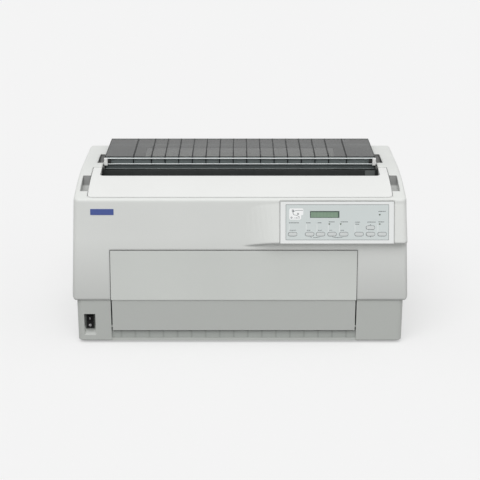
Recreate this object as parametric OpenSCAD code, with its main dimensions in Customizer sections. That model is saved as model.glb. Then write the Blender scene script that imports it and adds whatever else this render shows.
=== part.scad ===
// Wide-carriage dot matrix printer: a two-part moulded case with a hinged top lid, a hinged
// ribbed rear cover, a drop-down front flap and a tilted control panel, round a mechanism of
// platen, sliding print head, ribbon cartridge, gear train and pin-feed tractors.
// X runs along the platen, -Y is the front, Z is up. The origin is on the table, under the
// middle of the case.

/* [Case] */
// Widest width of the upper case
case_w = 700; // [660:5:740]
// Depth from the foot of the control panel to the rear cover
case_d = 382; // [374:2:400]
// Height of the flat rear deck above the table
case_h = 345; // [341:1:355]
// Height of the seam between the upper case and the base
split_z = 100; // [94:1:106]
// How far the base stands in from the widest part of the upper case
base_inset = 8.5; // [6:0.5:11]
// Wall of the case mouldings
wall = 3; // [2.5:0.1:3.5]
// How much each side leans in between the seam and the deck
side_draft = 8.3; // [4:0.1:10]
// How far the front leans back between the seam and its top edge
front_lean = 12; // [8:0.5:15]
// Drop of the curved top from the deck to the front edge
top_drop = 31; // [27:1:35]
// Place where the flat deck turns into the curved top
arc_y = 20; // [10:1:30]
// Radius of the upper case's front corners, seen from above
front_corner_r = 12; // [10:1:16]
// Radius of the case's rear corners, seen from above
rear_corner_r = 18; // [14:1:22]
// Rounding of the upper case's top edges
edge_r = 7; // [5:0.5:8]
// Height of the turned-in lower edge of the upper case
flare_h = 13; // [9:1:16]
// How far the base's front stands back at the seam
base_step = 2.3; // [1.5:0.1:3]
// How much the base's front leans in from the seam down to its bottom
base_lean = 8; // [5:0.5:10]
// Visible seam between neighbouring mouldings
seam = 0.7; // [0.5:0.1:1]
// Height of the rubber feet
foot_h = 5; // [4:0.5:7]
// Radius of the rubber feet
foot_r = 11; // [8:0.5:14]
// Inset of the feet from the base's sides
foot_inset = 27; // [22:1:34]

/* [Top lid] */
// Width of the top lid
lid_w = 628; // [616:2:632]
// Strip of case left in front of the lid
lid_strip = 9; // [7:0.5:12]
// Depth of the skirt round the lid
lid_skirt = 12; // [9:0.5:14]
// Front edge of the paper exit slot, cut into the lid
slot_front_y = -69; // [-74:1:-62]
// Width of the paper exit slot
slot_w = 593; // [588:1:597]
// Rear end of the lid's two arms
lid_rear_y = -17; // [-20:1:-12]
// Radius of the lid's front corners
lid_corner_r = 9; // [6:1:12]
// Radius of the lid's hinge pins
lid_pin_r = 2; // [1.5:0.1:2.4]
// Radius of the knuckles at the ends of the lid's arms
lid_knuckle_r = 4.2; // [3.8:0.1:5]
// Radius of the finger scoops beside the lid
scoop_r = 60; // [55:1:66]
// Depth of the finger scoops
scoop_depth = 12; // [9:0.5:13]
// Middle of the finger scoops, front to back
scoop_y = -113; // [-120:1:-108]
// Width of the finger scoops
scoop_w = 16.4; // [13:0.2:18]

/* [Rear cover] */
// Width of the ribbed rear cover
cover_w = 585; // [579:1:588]
// Height of the rear cover's plate above the deck
cover_rise = 15.5; // [14:0.5:17]
// Thickness of the rear cover
cover_t = 2.5; // [2:0.1:3]
// Front face of the rear cover's lip
cover_front_y = 8.5; // [7.5:0.5:10]
// Room between the rear cover's hinge and the case's rear face
cover_back_gap = 6; // [5:0.5:8]
// How far the front lip reaches below the deck
lip_drop = 11; // [9:0.5:14]
// Height of the ribs on the rear cover
rib_h = 2.5; // [2:0.1:2.9]
// Width of a rib on the rear cover
rib_w = 2; // [1.6:0.1:2.6]
// Spacing of the ribs
rib_pitch = 29.5; // [28:0.5:31]
// Number of ribs at that spacing
rib_count = 14; // [10:2:14]
// Distance of the two outer ribs from the middle
outer_rib_x = 230.5; // [222:0.5:240]
// Radius of the rear cover's hinge pins
cover_pin_r = 2; // [1.5:0.1:2.4]
// Radius of the rear cover's hinge roll
cover_roll_r = 4; // [3.6:0.1:4.6]
// Place of the rear cover's hinge ears, from the middle
cover_ear_x = 240; // [200:5:255]
// Width of a hinge ear
cover_ear_w = 8; // [6:0.5:12]
// Radius of the paper guide wires
wire_r = 1.5; // [1.2:0.1:1.8]
// Depth of the lifting notches beside the rear cover
notch_depth = 10; // [8:0.5:12]
// Length of the lifting notches
notch_len = 79; // [70:1:85]
// Width of the lifting notches
notch_w = 13; // [11:0.5:15]
// Front end of the lifting notches
notch_y = 19; // [16:1:24]

/* [Front flap] */
// Left edge of the front flap
flap_left = -269.5; // [-275:0.5:-266]
// Right edge of the front flap
flap_right = 243; // [238:0.5:248]
// Distance of the front flap's top edge below the deck
flap_top = 139; // [136:1:141]
// Bottom edge of the front flap
flap_low = 29.5; // [28:0.5:32]
// Thickness of the front flap
flap_t = 3; // [2.5:0.1:3.5]
// Height of the flap's hinge
flap_hinge_z = 37; // [36:0.5:40]
// How far the flap's hinge lies behind its face
flap_hinge_in = 6; // [5.5:0.5:7]
// Radius of the flap's hinge pins
flap_pin_r = 2.5; // [2:0.1:3]
// Height of the sill under the front paper entry
sill_z = 11; // [9.5:0.5:12]
// Spacing of the ribs on the front paper guide
guide_rib_pitch = 29.7; // [26:0.1:33]

/* [Power switch] */
// Distance of the switch recess's middle from the base's left side
switch_x = 26; // [22.5:0.5:29.5]
// Middle height of the rocker
switch_z = 48; // [46:0.5:50]
// Width of the recess round the rocker
recess_w = 23.5; // [22:0.5:25]
// Depth of the recess round the rocker
recess_depth = 8; // [7:0.5:9]
// Width of the rocker
rocker_w = 14; // [12:0.5:15]
// Height of the rocker
rocker_h = 30; // [27:0.5:31]
// Tilt of the rocker at rest, off its middle
rocker_tilt = 7; // [5:0.5:8]

/* [Control panel] */
// Left edge of the control panel's frame
panel_left = 82; // [78:1:86]
// Right edge of the control panel's frame
panel_right = 317; // [314:1:320]
// Distance of the control panel's foot below the deck
panel_low = 119; // [117:1:121]
// How far the foot of the control panel stands out of the case's front
panel_bulge = 9; // [7:0.5:10]
// Left end of the bulge, where it has run out into the case's front
bulge_start = 0; // [-20:1:20]
// Left edge of the printed overlay
overlay_left = 93.8; // [92:0.2:96]
// Right edge of the printed overlay
overlay_right = 306; // [304:0.2:308]
// Height of the printed overlay's lower edge above the panel's foot
overlay_low = 6.7; // [5.5:0.1:8]
// Height of the printed overlay's top edge above the panel's foot
overlay_top = 78; // [76:0.2:79]
// Thickness of the printed overlay
overlay_t = 0.8; // [0.5:0.1:1]
// Length of a button
button_len = 17; // [15:0.5:18]
// Height of a button
button_h = 7; // [6:0.1:7.6]
// How far a button stands out of the overlay
button_out = 1.3; // [1:0.1:1.8]
// Travel of a button
button_travel = 0.8; // [0.5:0.1:1]
// Height of the row of buttons above the panel's foot
button_row_z = 18.8; // [17.5:0.1:20]
// Height of the upper micro feed button above the panel's foot
micro_up_z = 31.9; // [31:0.1:33]
// Height of the row of lamps above the panel's foot
lamp_row_z = 39; // [38.5:0.1:41]
// Height of the lamp at the top right above the panel's foot
lamp_top_z = 57.5; // [54:0.5:64]
// Radius of a lamp
lamp_r = 1.5; // [1.2:0.1:1.8]
// Left edge of the display's window
lcd_left = 144; // [142:0.5:147]
// Width of the display's window
lcd_w = 60; // [56:0.5:62]
// Height of the display window's middle above the panel's foot
lcd_z = 58; // [57:0.5:60]
// Height of the display's window
lcd_h = 13.6; // [12:0.2:15]

/* [Print mechanism] */
// Distance of the side frames' inner faces from the middle
frame_x = 300; // [298:0.5:304]
// Thickness of the steel side frames
frame_t = 3; // [2:0.25:3.5]
// Front to back place of the platen's axis
platen_y = -20; // [-22:0.5:-18]
// Distance of the platen's axis below the deck
platen_z = 83; // [81:0.5:85]
// Radius of the platen's rubber roller
platen_r = 19; // [17:0.25:20]
// Length of the platen's rubber roller
platen_len = 570; // [540:2:580]
// Radius of the platen's shaft
platen_shaft_r = 6; // [5:0.25:7]
// Radius of the carriage's guide shafts
guide_r = 6; // [5:0.25:7]
// Distance of the guide shafts below the platen's axis
guide_z = 32; // [31:0.5:33]
// Distance of the rear guide shaft in front of the platen's axis
rear_guide_gap = 42; // [40:0.5:44]
// Distance between the two guide shafts
guide_span = 56; // [52:0.5:58]
// Width of the carriage
carriage_w = 78; // [70:1:86]
// Place of the carriage at rest
carriage_x = -225; // [-228:1:-200]
// Gap between the print head's nose and the platen
head_gap = 2.4; // [2:0.1:3]
// Radius of the print head's barrel
head_r = 20; // [18:0.5:20.5]
// Height of the ribbon cartridge
cartridge_h = 36; // [32:0.5:38]
// Number of cooling fins on the print head
fin_count = 7; // [5:1:9]
// Pitch radius of the belt pulleys
pulley_r = 12; // [10:0.25:14]
// Distance of the belt pulleys from the middle
pulley_x = 273; // [268:0.5:274]
// Width of the timing belt
belt_w = 8; // [6:0.5:9]
// Thickness of the timing belt
belt_t = 1.5; // [1.2:0.1:1.8]
// Radius of the carriage motor
motor_r = 23; // [20:0.5:24]
// Height of the carriage motor
motor_h = 58; // [50:1:64]

/* [Paper feed] */
// Tooth size of the feed gears
gear_module = 1.5; // [1.45:0.01:1.55]
// Teeth of the platen gear and the idler gear
big_teeth = 48; // [46:1:50]
// Teeth of the gear on the tractor shaft
tractor_teeth = 36; // [34:1:38]
// Teeth of the motor's pinion
pinion_teeth = 18; // [17:1:20]
// Width of the feed gears
gear_w = 8; // [6:0.5:9]
// Direction from the platen to the idler gear
idler_dir = 207.5; // [206:0.5:209]
// Direction from the idler gear to the tractor shaft
tractor_dir = 222; // [220:0.5:224]
// Direction from the platen to the motor's pinion
pinion_dir = 290; // [286:1:294]
// Radius of the paper feed motor
feed_motor_r = 21; // [18:0.5:22]
// Spacing of the pins on the tractor belts
pin_pitch = 12.7; // [12.4:0.1:13]
// Pin pitches round a tractor's sprocket
sprocket_pins = 8; // [8:1:8]
// Side of the square tractor shaft
tractor_square = 8; // [7:0.25:9]
// Radius of the tractors' support rod
rod_r = 5; // [4:0.25:5.5]
// Width of a tractor's pin belt
pin_belt_w = 10; // [9:0.5:11]
// Place of the left tractor
left_tractor_x = -225; // [-230:1:-200]
// Place of the right tractor
right_tractor_x = 200; // [150:1:205]

/* [Electrics] */
// Length of the power supply
supply_w = 160; // [140:5:175]
// Depth of the power supply
supply_d = 130; // [110:5:138]
// Height of the power supply
supply_h = 62; // [50:2:70]
// Length of the main board
board_w = 360; // [320:5:370]
// Depth of the main board
board_d = 128; // [110:2:134]
// Size of the cooling fan
fan_size = 80; // [70:5:92]
// Middle of the cooling fan
fan_x = 190; // [170:5:200]
// Middle height of the cooling fan
fan_z = 226; // [215:1:232]

/* [Hidden] */

$fn = 64;
fine = 256;              // segments of the large top arc
run = 0.05;              // radial clearance of every pin and shaft that turns or slides
seat = 0.3;              // rest clearance between pieces that may not overlap
eps = 0.01;

// ---- case surfaces ----
rear_panel_t = wall;
back_y = case_d / 2 - rear_panel_t;
front_low_y = -case_d / 2 + panel_bulge;
front_top_z = case_h - top_drop;
front_top_y = front_low_y + front_lean;
arc_r = (pow(arc_y - front_top_y, 2) + pow(top_drop, 2)) / (2 * top_drop);
flare_z = split_z + flare_h;
base_half = case_w / 2 - base_inset;
base_top_y = front_low_y + base_step;

// ---- heights above the table of what hangs from the deck ----
panel_foot_z = case_h - panel_low;
film_low_z = panel_foot_z + overlay_low;
film_top_z = panel_foot_z + overlay_top;
key_row_z = panel_foot_z + button_row_z;
key_upper_z = panel_foot_z + micro_up_z;
lamp_line_z = panel_foot_z + lamp_row_z;
lamp_upper_z = panel_foot_z + lamp_top_z;
window_z = panel_foot_z + lcd_z;
flap_top_z = case_h - flap_top;
platen_axis_z = case_h - platen_z;
guide_axis_z = platen_axis_z - guide_z;

function top_z(y) = y >= arc_y ? case_h
  : case_h - arc_r + sqrt(pow(arc_r, 2) - pow(arc_y - y, 2));
function front_y(z) = front_low_y + front_lean * (z - split_z) / (front_top_z - split_z);
function half_w(z) = case_w / 2 - side_draft * (z - flare_z) / (case_h - flare_z);
function base_y(z) = base_top_y + base_lean * (split_z - z) / (split_z - foot_h);
function mix(a, b, t) = a + (b - a) * t;
function smooth(t) = t * t * (3 - 2 * t);

// ---- top lid and deck ----
lid_front_y = front_top_y + lid_strip;
lid_hinge_y = lid_rear_y - lid_knuckle_r;
lid_hinge_z = top_z(lid_hinge_y) - lid_knuckle_r;
bay_half = lid_w / 2 + seam;
deck_rim = 4;            // how far the deck reaches in under the rear cover
pin_boss = 12;           // length of the bosses that hold the lid's pins

// ---- rear cover ----
cover_top_z = case_h + cover_rise;
cover_hinge_y = back_y - cover_back_gap;
cover_hinge_z = case_h + seam + cover_roll_r + 0.6;
lip_low_z = case_h - lip_drop;
ear_gap = 0.6;
bracket_w = 7;
bracket_d = 6;
bracket_h = 17;
wire_y = cover_front_y - wire_r - 2;
upper_wire_z = cover_top_z - wire_r - 1.2;
lower_wire_z = upper_wire_z - 12.2;
wire_len = cover_w - 2 * bracket_w + 6;

// ---- flap ----
flap_hinge_y = base_y(flap_hinge_z) + flap_hinge_in;
flap_lower_inset = 1.6;
flap_fold = 7;           // depth of the flap's turned-in top edge
post_left = flap_left - seam - 0.6;
post_right = flap_right + seam + 0.6;
sill_back_y = base_y(sill_z) + 4.5;
guide_rib = 1.2;         // how far the guide's ribs stand out
guide_face_y = sill_back_y + guide_rib + seat;
// reach of the flap's lower edge round its hinge
flap_swing_r = norm([base_y(flap_low) - flap_hinge_y, flap_low - flap_hinge_z]);

// ---- control panel ----
face_top_z = front_top_z - edge_r * 0.8;
face_slope = (front_y(face_top_z) + case_d / 2) / (face_top_z - panel_foot_z);
face_tilt = atan(face_slope);
bezel_top_z = face_top_z + 1.2;
bezel_wall = 3.2;
board_depth = 11;
button_flange = 1.3;
function face_y(z) = -case_d / 2 + face_slope * (z - panel_foot_z);

// Places of the buttons along the panel, left to right, and their heights
button_x = [108.1, 143.1, 165.5, 189.1, 213.1, 244.8, 267.9, 268.1, 291.9];
button_z = [key_row_z, key_row_z, key_row_z, key_row_z, key_row_z,
  key_row_z, key_upper_z, key_row_z, key_row_z];
// Places of the status lamps, and their heights
lamp_x = [183.5, 206.9, 287, 287];
lamp_z = [lamp_line_z, lamp_line_z, lamp_line_z, lamp_upper_z];

// ---- mechanism ----
floor_z = foot_h + wall;
plate_low = floor_z + 3;
plate_z = plate_low + 2;
plate_front_y = -122;
plate_back_y = back_y - wall - 14;
frame_back_y = plate_back_y - 31;
rear_guide_y = platen_y - rear_guide_gap;
front_guide_y = rear_guide_y - guide_span;
carriage_top = guide_axis_z + guide_r + 4.5;
carriage_low = guide_axis_z - guide_r - 5;
carriage_reach = guide_r + 5;
head_z = platen_axis_z;
head_nose_y = platen_y - platen_r - head_gap;
belt_y = rear_guide_y - 24;
belt_high = carriage_low - 4;
belt_low = belt_high - belt_w;
stay_z = belt_low - 3;
stay_t = 3;
stay_front_y = belt_y - 22;
stay_back_y = rear_guide_y + 10;

gear_x = frame_x + frame_t + 1.5;
big_r = gear_module * big_teeth / 2;
tractor_gear_r = gear_module * tractor_teeth / 2;
pinion_r = gear_module * pinion_teeth / 2;
platen_at = [platen_y, platen_axis_z];
idler_at = platen_at + 2 * big_r * [cos(idler_dir), sin(idler_dir)];
shaft_at = idler_at + (big_r + tractor_gear_r) * [cos(tractor_dir), sin(tractor_dir)];
pinion_at = platen_at + (big_r + pinion_r) * [cos(pinion_dir), sin(pinion_dir)];
idler_stud_r = 4;
idler_phase = mesh_phase(0, big_teeth, big_teeth, idler_dir);
shaft_phase = mesh_phase(idler_phase, big_teeth, tractor_teeth, tractor_dir);
pinion_phase = mesh_phase(0, big_teeth, pinion_teeth, pinion_dir);

// Angle of a tooth of the second gear, when the first has a tooth at angle phase
function mesh_phase(phase, teeth, next_teeth, dir) =
  dir + 180 + (0.5 + (dir - phase) * teeth / 360 - floor((dir - phase) * teeth / 360))
  * 360 / next_teeth;

sprocket_r = sprocket_pins * pin_pitch / (2 * PI);
tractor_span = sprocket_pins / 2 * pin_pitch;
rod_at = [shaft_at[0], shaft_at[1] - tractor_span];
pin_belt_t = 1.6;
belt_out_r = sprocket_r + pin_belt_t / 2;
belt_in_r = sprocket_r - pin_belt_t / 2;
pin_len = 3.4;
pin_r = 1.9;
cheek_t = 2.5;
cheek_x = pin_belt_w / 2 + 0.6;
hub_r = tractor_square * 0.75 + 2.2;
journal_r = tractor_square / 2 + 0.8;
cover_gap = 1.4;
cover_hinge_x = cheek_x + cheek_t + 4;
tractor_pin_r = 1.5;
tractor_hinge_y = shaft_at[0] - belt_out_r + 2.5;
tractor_ear_h = 9;
tractor_ear_z = (shaft_at[1] + rod_at[1]) / 2;
guide_top_z = rod_at[1] - belt_out_r - pin_len - 4;
guide_back_y = shaft_at[0] - belt_out_r;

cartridge_back_y = front_guide_y + 8;
cartridge_front_y = front_top_y + wall + 17;
cartridge_low = carriage_top + 22;
cartridge_high = cartridge_low + cartridge_h;
arm_in = frame_x - 32;
ribbon_t = 0.5;
ribbon_y = head_nose_y + 0.7;
knob_x = -frame_x + 75;
knob_y = (cartridge_front_y + cartridge_back_y) / 2;
knob_r = 9;

// ---- rear of the case, power switch and fan ----
inlet_x = -base_half + 91.5;
inlet_z = 46;
port_x0 = 60;
port_x1 = 206;
port_z0 = plate_z + 6;
port_z1 = port_z0 + 26;
switch_mid_x = -base_half + switch_x;
switch_floor_y = base_y(switch_z) + recess_depth;
rocker_at = [switch_floor_y - 1.5, switch_z];
fan_depth = 25;
fan_hub_r = 17;

exit_wall_y = cover_front_y - 5.5;
exit_top_z = lip_low_z - 2;

// ---- helpers ----
// Rounded rectangle with its centre at the origin
module rounded(w, h, r) {
  square([w - 2 * r, h], center = true);
  square([w, h - 2 * r], center = true);
  for (sx = [-1, 1], sy = [-1, 1])
    translate([sx * (w / 2 - r), sy * (h / 2 - r)]) circle(r);
}

// Stadium of full length w and height h, centred
module pill(w, h) {
  square([w - h, h], center = true);
  for (s = [-1, 1]) translate([s * (w - h) / 2, 0]) circle(h / 2);
}

// Sweeps a profile drawn in (Y, Z) along X, from x0 to x1
module along_x(x0, x1) {
  translate([x0, 0, 0]) rotate([90, 0, 90]) linear_extrude(x1 - x0) children();
}

// Rod along X from x0 to x1, at (Y, Z)
module rod_x(at, r, x0, x1) {
  translate([x0, at[0], at[1]]) rotate([0, 90, 0]) cylinder(r = r, h = x1 - x0);
}

// Box between two corners
module box(a, b) {
  translate(a) cube(b - a);
}

// Children stand on the control panel's face at place x and height z, with +Z out of it
module on_panel(x, z) {
  translate([x, face_y(z), z]) rotate([90 - face_tilt, 0, 0]) children();
}

// Involute gear outline, with a tooth centred on the first axis
module gear_outline(teeth) {
  pitch_r = gear_module * teeth / 2;
  base_r = pitch_r * cos(20);
  tip_r = pitch_r + gear_module;
  root_r = pitch_r - 1.25 * gear_module;
  start_r = max(base_r, root_r);
  backlash = 0.12;
  half = 90 / teeth + (tan(20) * 180 / PI - 20) - backlash / pitch_r * 180 / PI;
  function flank(r) = half - (tan(acos(base_r / r)) * 180 / PI - acos(base_r / r));
  steps = 3;
  radii = [for (i = [0:steps]) mix(start_r + 0.02, tip_r, i / steps)];
  rise = concat(base_r > root_r ? [[root_r, flank(start_r + 0.02)]] : [],
    [for (r = radii) [r, flank(r)]]);
  last = len(rise) - 1;
  polygon([for (k = [0:teeth - 1], side = [-1, 1], i = [0:last])
    let (p = side < 0 ? rise[i] : rise[last - i], a = k * 360 / teeth + side * p[1])
    p[0] * [cos(a), sin(a)]]);
}

// Gear on an X axis at (Y, Z), turned to its phase
module gear(at, teeth, phase, bore_r) {
  translate([gear_x, at[0], at[1]]) rotate([90, 0, 90]) linear_extrude(gear_w)
    difference() {
      rotate(phase) gear_outline(teeth);
      circle(bore_r);
    }
}

// ---- case ----
// Closed skin through rings of equally many points, each ring seen anticlockwise from the next
module skin(rings) {
  n = len(rings[0]);
  last = (len(rings) - 1) * n;
  sides = [for (i = [0:len(rings) - 2], j = [0:n - 1])
    let (a = i * n + j, b = i * n + (j + 1) % n)
    each [[a, b + n, b], [a, a + n, b + n]]];
  polyhedron([for (r = rings, p = r) p],
    concat([[for (j = [0:n - 1]) j]], sides, [[for (j = [n - 1:-1:0]) last + j]]));
}

// Ring of the case's outline seen from above, at height z
function plan_ring(half, y0, y1, rf, rr, z, steps) = [
  for (a = [0:steps]) let (d = -90 + 90 * a / steps)
    [half - rf + rf * cos(d), y0 + rf + rf * sin(d), z],
  for (a = [0:steps]) let (d = 90 * a / steps)
    [half - rr + rr * cos(d), y1 - rr + rr * sin(d), z],
  for (a = [0:steps]) let (d = 90 + 90 * a / steps)
    [-half + rr + rr * cos(d), y1 - rr + rr * sin(d), z],
  for (a = [0:steps]) let (d = 180 + 90 * a / steps)
    [-half + rf + rf * cos(d), y0 + rf + rf * sin(d), z]
];

// Side view of the upper case, set in by inset from its surface. Each entry is a place (y, z),
// the way it moves in towards the case's ends (vy, vz), and the width of that rounding.
function case_profile(inset, low) = let (
    er = edge_r - 0.8 * inset,
    rf = front_corner_r - inset,
    rr = rear_corner_r - inset,
    under = half_w(flare_z) - base_half - 0.6,
    rear = back_y - inset,
    high = case_h - inset,
    edge_y = front_y(front_top_z) + inset + er,
    deep_r = arc_r - inset - er,
    edge_z = case_h - arc_r + sqrt(pow(deep_r, 2) - pow(arc_y - edge_y, 2)),
    from = 90 + asin((arc_y - edge_y) / deep_r),
    to = 180 - atan(front_lean / (front_top_z - split_z)),
    turns = 5,
    stations = 8,
    arc_end = edge_y + er * cos(from)
  ) [
    [front_y(low) + inset, low, rf, flare_z - low, under],
    [rear, low, -rr, flare_z - low, under],
    for (i = [0:turns]) let (u = i / turns, a = 90 * u, y = rear - er + er * cos(a),
        z = high - er + er * sin(a))
      [y, z, rear - rr - 2 * u - y, high - er - 0.8 * pow(1 - u, 2) - z, mix(rr, er, sin(a))],
    for (i = [0:stations - 1]) let (y = mix(arc_y, arc_end, i / stations))
      [y, top_z(y) - inset, 0, -er, er],
    for (i = [0:turns]) let (u = i / turns, a = mix(from, to, u), y = edge_y + er * cos(a),
        z = edge_z + er * sin(a), end_y = front_top_y + inset + rf + 2 * (1 - u))
      [y, z, end_y - y, top_z(end_y) - inset - er - 0.8 * u * u - z, mix(er, rf, sin(90 * u))]
  ];

// Ring of that side view near the case's end on side s, at angle a of the rounding
function case_ring(profile, inset, s, a) = [for (p = profile)
  let (z = p[1] + p[3] * (1 - sin(a)))
  [s * (half_w(z) - inset - p[4] * (1 - cos(a))), p[0] + p[2] * (1 - sin(a)), z]];

// Solid form of the upper case, set in from its outer surface
module case_form(inset, low, steps) {
  profile = case_profile(inset, low);
  skin(concat(
    [for (i = [0:steps]) case_ring(profile, inset, -1, 90 * i / steps)],
    [for (i = [steps:-1:0]) case_ring(profile, inset, 1, 90 * i / steps)]));
}

// Section of the control panel's bulge, standing out by the share out, as (y, z) places
function bulge_section(out, low) = [
  [front_y(face_top_z) + 0.9, face_top_z - 0.4],
  [mix(front_y(low) + 0.4, -case_d / 2, out), low],
  [front_y(low - 3) + 0.4, low - 3],
  [front_y(low) + front_corner_r + 2, low - 3],
  [front_y(face_top_z) + front_corner_r + 2, face_top_z - 0.4]
];

// Bulge behind and beside the control panel: it grows out of the case's front from the left,
// and runs round the front right corner
module control_bulge() {
  steps = 8;
  low_start = panel_foot_z - 9;
  run_rings = [for (i = [0:steps]) let (t = i / steps, u = smooth(t))
    [for (p = bulge_section(u, mix(low_start, panel_foot_z, u)))
      [mix(bulge_start, panel_left, t), p[0], p[1]]]];
  section = bulge_section(1, panel_foot_z);
  corner_rings = [for (i = [steps:-1:0]) let (a = 90 * i / steps)
    [for (j = [0:4]) let (p = section[j], r = front_corner_r)
      [half_w(p[1]) - 0.3 - r * (1 - cos(a)), p[0] + (j < 3 ? r * (1 - sin(a)) : 0),
        p[1]]]];
  skin(concat(run_rings, corner_rings));
}

// Space of the top lid's bay, cut down through the curved top
module lid_bay() {
  depth = lid_rear_y + seam - (lid_front_y - seam);
  translate([0, 0, front_top_z - lid_skirt]) linear_extrude(case_h) {
    translate([0, lid_front_y - seam + depth / 2])
      rounded(2 * bay_half, depth, lid_corner_r + seam);
    // square rear corners, where the lid's knuckles turn
    translate([-bay_half, lid_rear_y + seam - 2 * lid_corner_r])
      square([2 * bay_half, 2 * lid_corner_r]);
  }
}

module upper_housing() {
  scoop_z = top_z(scoop_y) - scoop_depth + scoop_r;
  notch_x = cover_w / 2 + 4;
  color([0.87, 0.88, 0.86])
  difference() {
    union() {
      difference() {
        union() {
          case_form(0, split_z, 8);
          control_bulge();
        }
        case_form(wall, split_z - 1, 4);
      }
      // trays of the finger scoops beside the lid
      for (s = [-1, 1]) scale([s, 1, 1])
        intersection() {
          box([bay_half - 1, scoop_y - 46, top_z(scoop_y) - scoop_depth - wall - 6],
            [bay_half + scoop_w + wall, scoop_y + 46, case_h]);
          case_form(1, split_z, 4);
        }
      // trays of the lifting notches beside the rear cover
      for (s = [-1, 1]) scale([s, 1, 1])
        box([notch_x - wall, notch_y - wall, case_h - notch_depth - wall],
          [notch_x + notch_w + wall, notch_y + notch_len + wall, case_h - 1]);
      // bosses that hold the lid's pins
      for (s = [-1, 1]) scale([s, 1, 1])
        box([bay_half - 1, lid_hinge_y - 7, lid_hinge_z - 8],
          [bay_half + pin_boss, lid_hinge_y + 7, lid_hinge_z + 2.6]);
      // ears that carry the rear cover's pins
      for (s = [-1, 1]) {
        translate([s * cover_ear_x - cover_ear_w / 2, 0, 0]) {
          box([0, cover_hinge_y - cover_roll_r, case_h - 1],
            [cover_ear_w, cover_hinge_y + cover_roll_r, cover_hinge_z]);
          rod_x([cover_hinge_y, cover_hinge_z], cover_roll_r, 0, cover_ear_w);
        }
      }
    }
    lid_bay();
    // paper exit slot and the opening under the rear cover
    box([-slot_w / 2, lid_rear_y - 5, case_h - lid_skirt - 20],
      [slot_w / 2, cover_front_y + cover_t + 1.5, case_h + 1]);
    box([-cover_w / 2 + deck_rim + 4, 0, case_h - wall - 1],
      [cover_w / 2 - deck_rim - 4, cover_hinge_y - 10, case_h + 1]);
    // front flap's opening
    box([flap_left - seam, -case_d / 2 - 1, split_z - 1],
      [flap_right + seam, front_y(flap_top_z) + wall + 2, flap_top_z + seam]);
    // control panel's opening
    box([panel_left, -case_d / 2 - 1, panel_foot_z - 3 - eps],
      [panel_right, front_top_y + wall + 3, bezel_top_z + seam]);
    // opening behind the rear panel
    box([-frame_x + 10, back_y - wall - 1, split_z + 28],
      [frame_x - 10, back_y + 1, case_h - 23]);
    // finger scoops
    for (s = [-1, 1]) scale([s, 1, 1])
      rod_x([scoop_y, scoop_z], scoop_r, bay_half - 1, bay_half + scoop_w);
    // lifting notches, deeper towards the front
    for (s = [-1, 1]) scale([s, 1, 1])
      translate([notch_x, notch_y, 0]) along_x(0, notch_w)
        polygon([[0, case_h + 1], [0, case_h - notch_depth],
          [notch_len * 0.35, case_h - notch_depth], [notch_len, case_h - 3],
          [notch_len, case_h + 1]]);
    // bores of the lid's pins
    rod_x([lid_hinge_y, lid_hinge_z], lid_pin_r + run, -bay_half - pin_boss + 2,
      bay_half + pin_boss - 2);
    // bores of the rear cover's pins
    rod_x([cover_hinge_y, cover_hinge_z], cover_pin_r + run,
      -cover_ear_x - cover_ear_w, cover_ear_x + cover_ear_w);
  }
}

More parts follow.
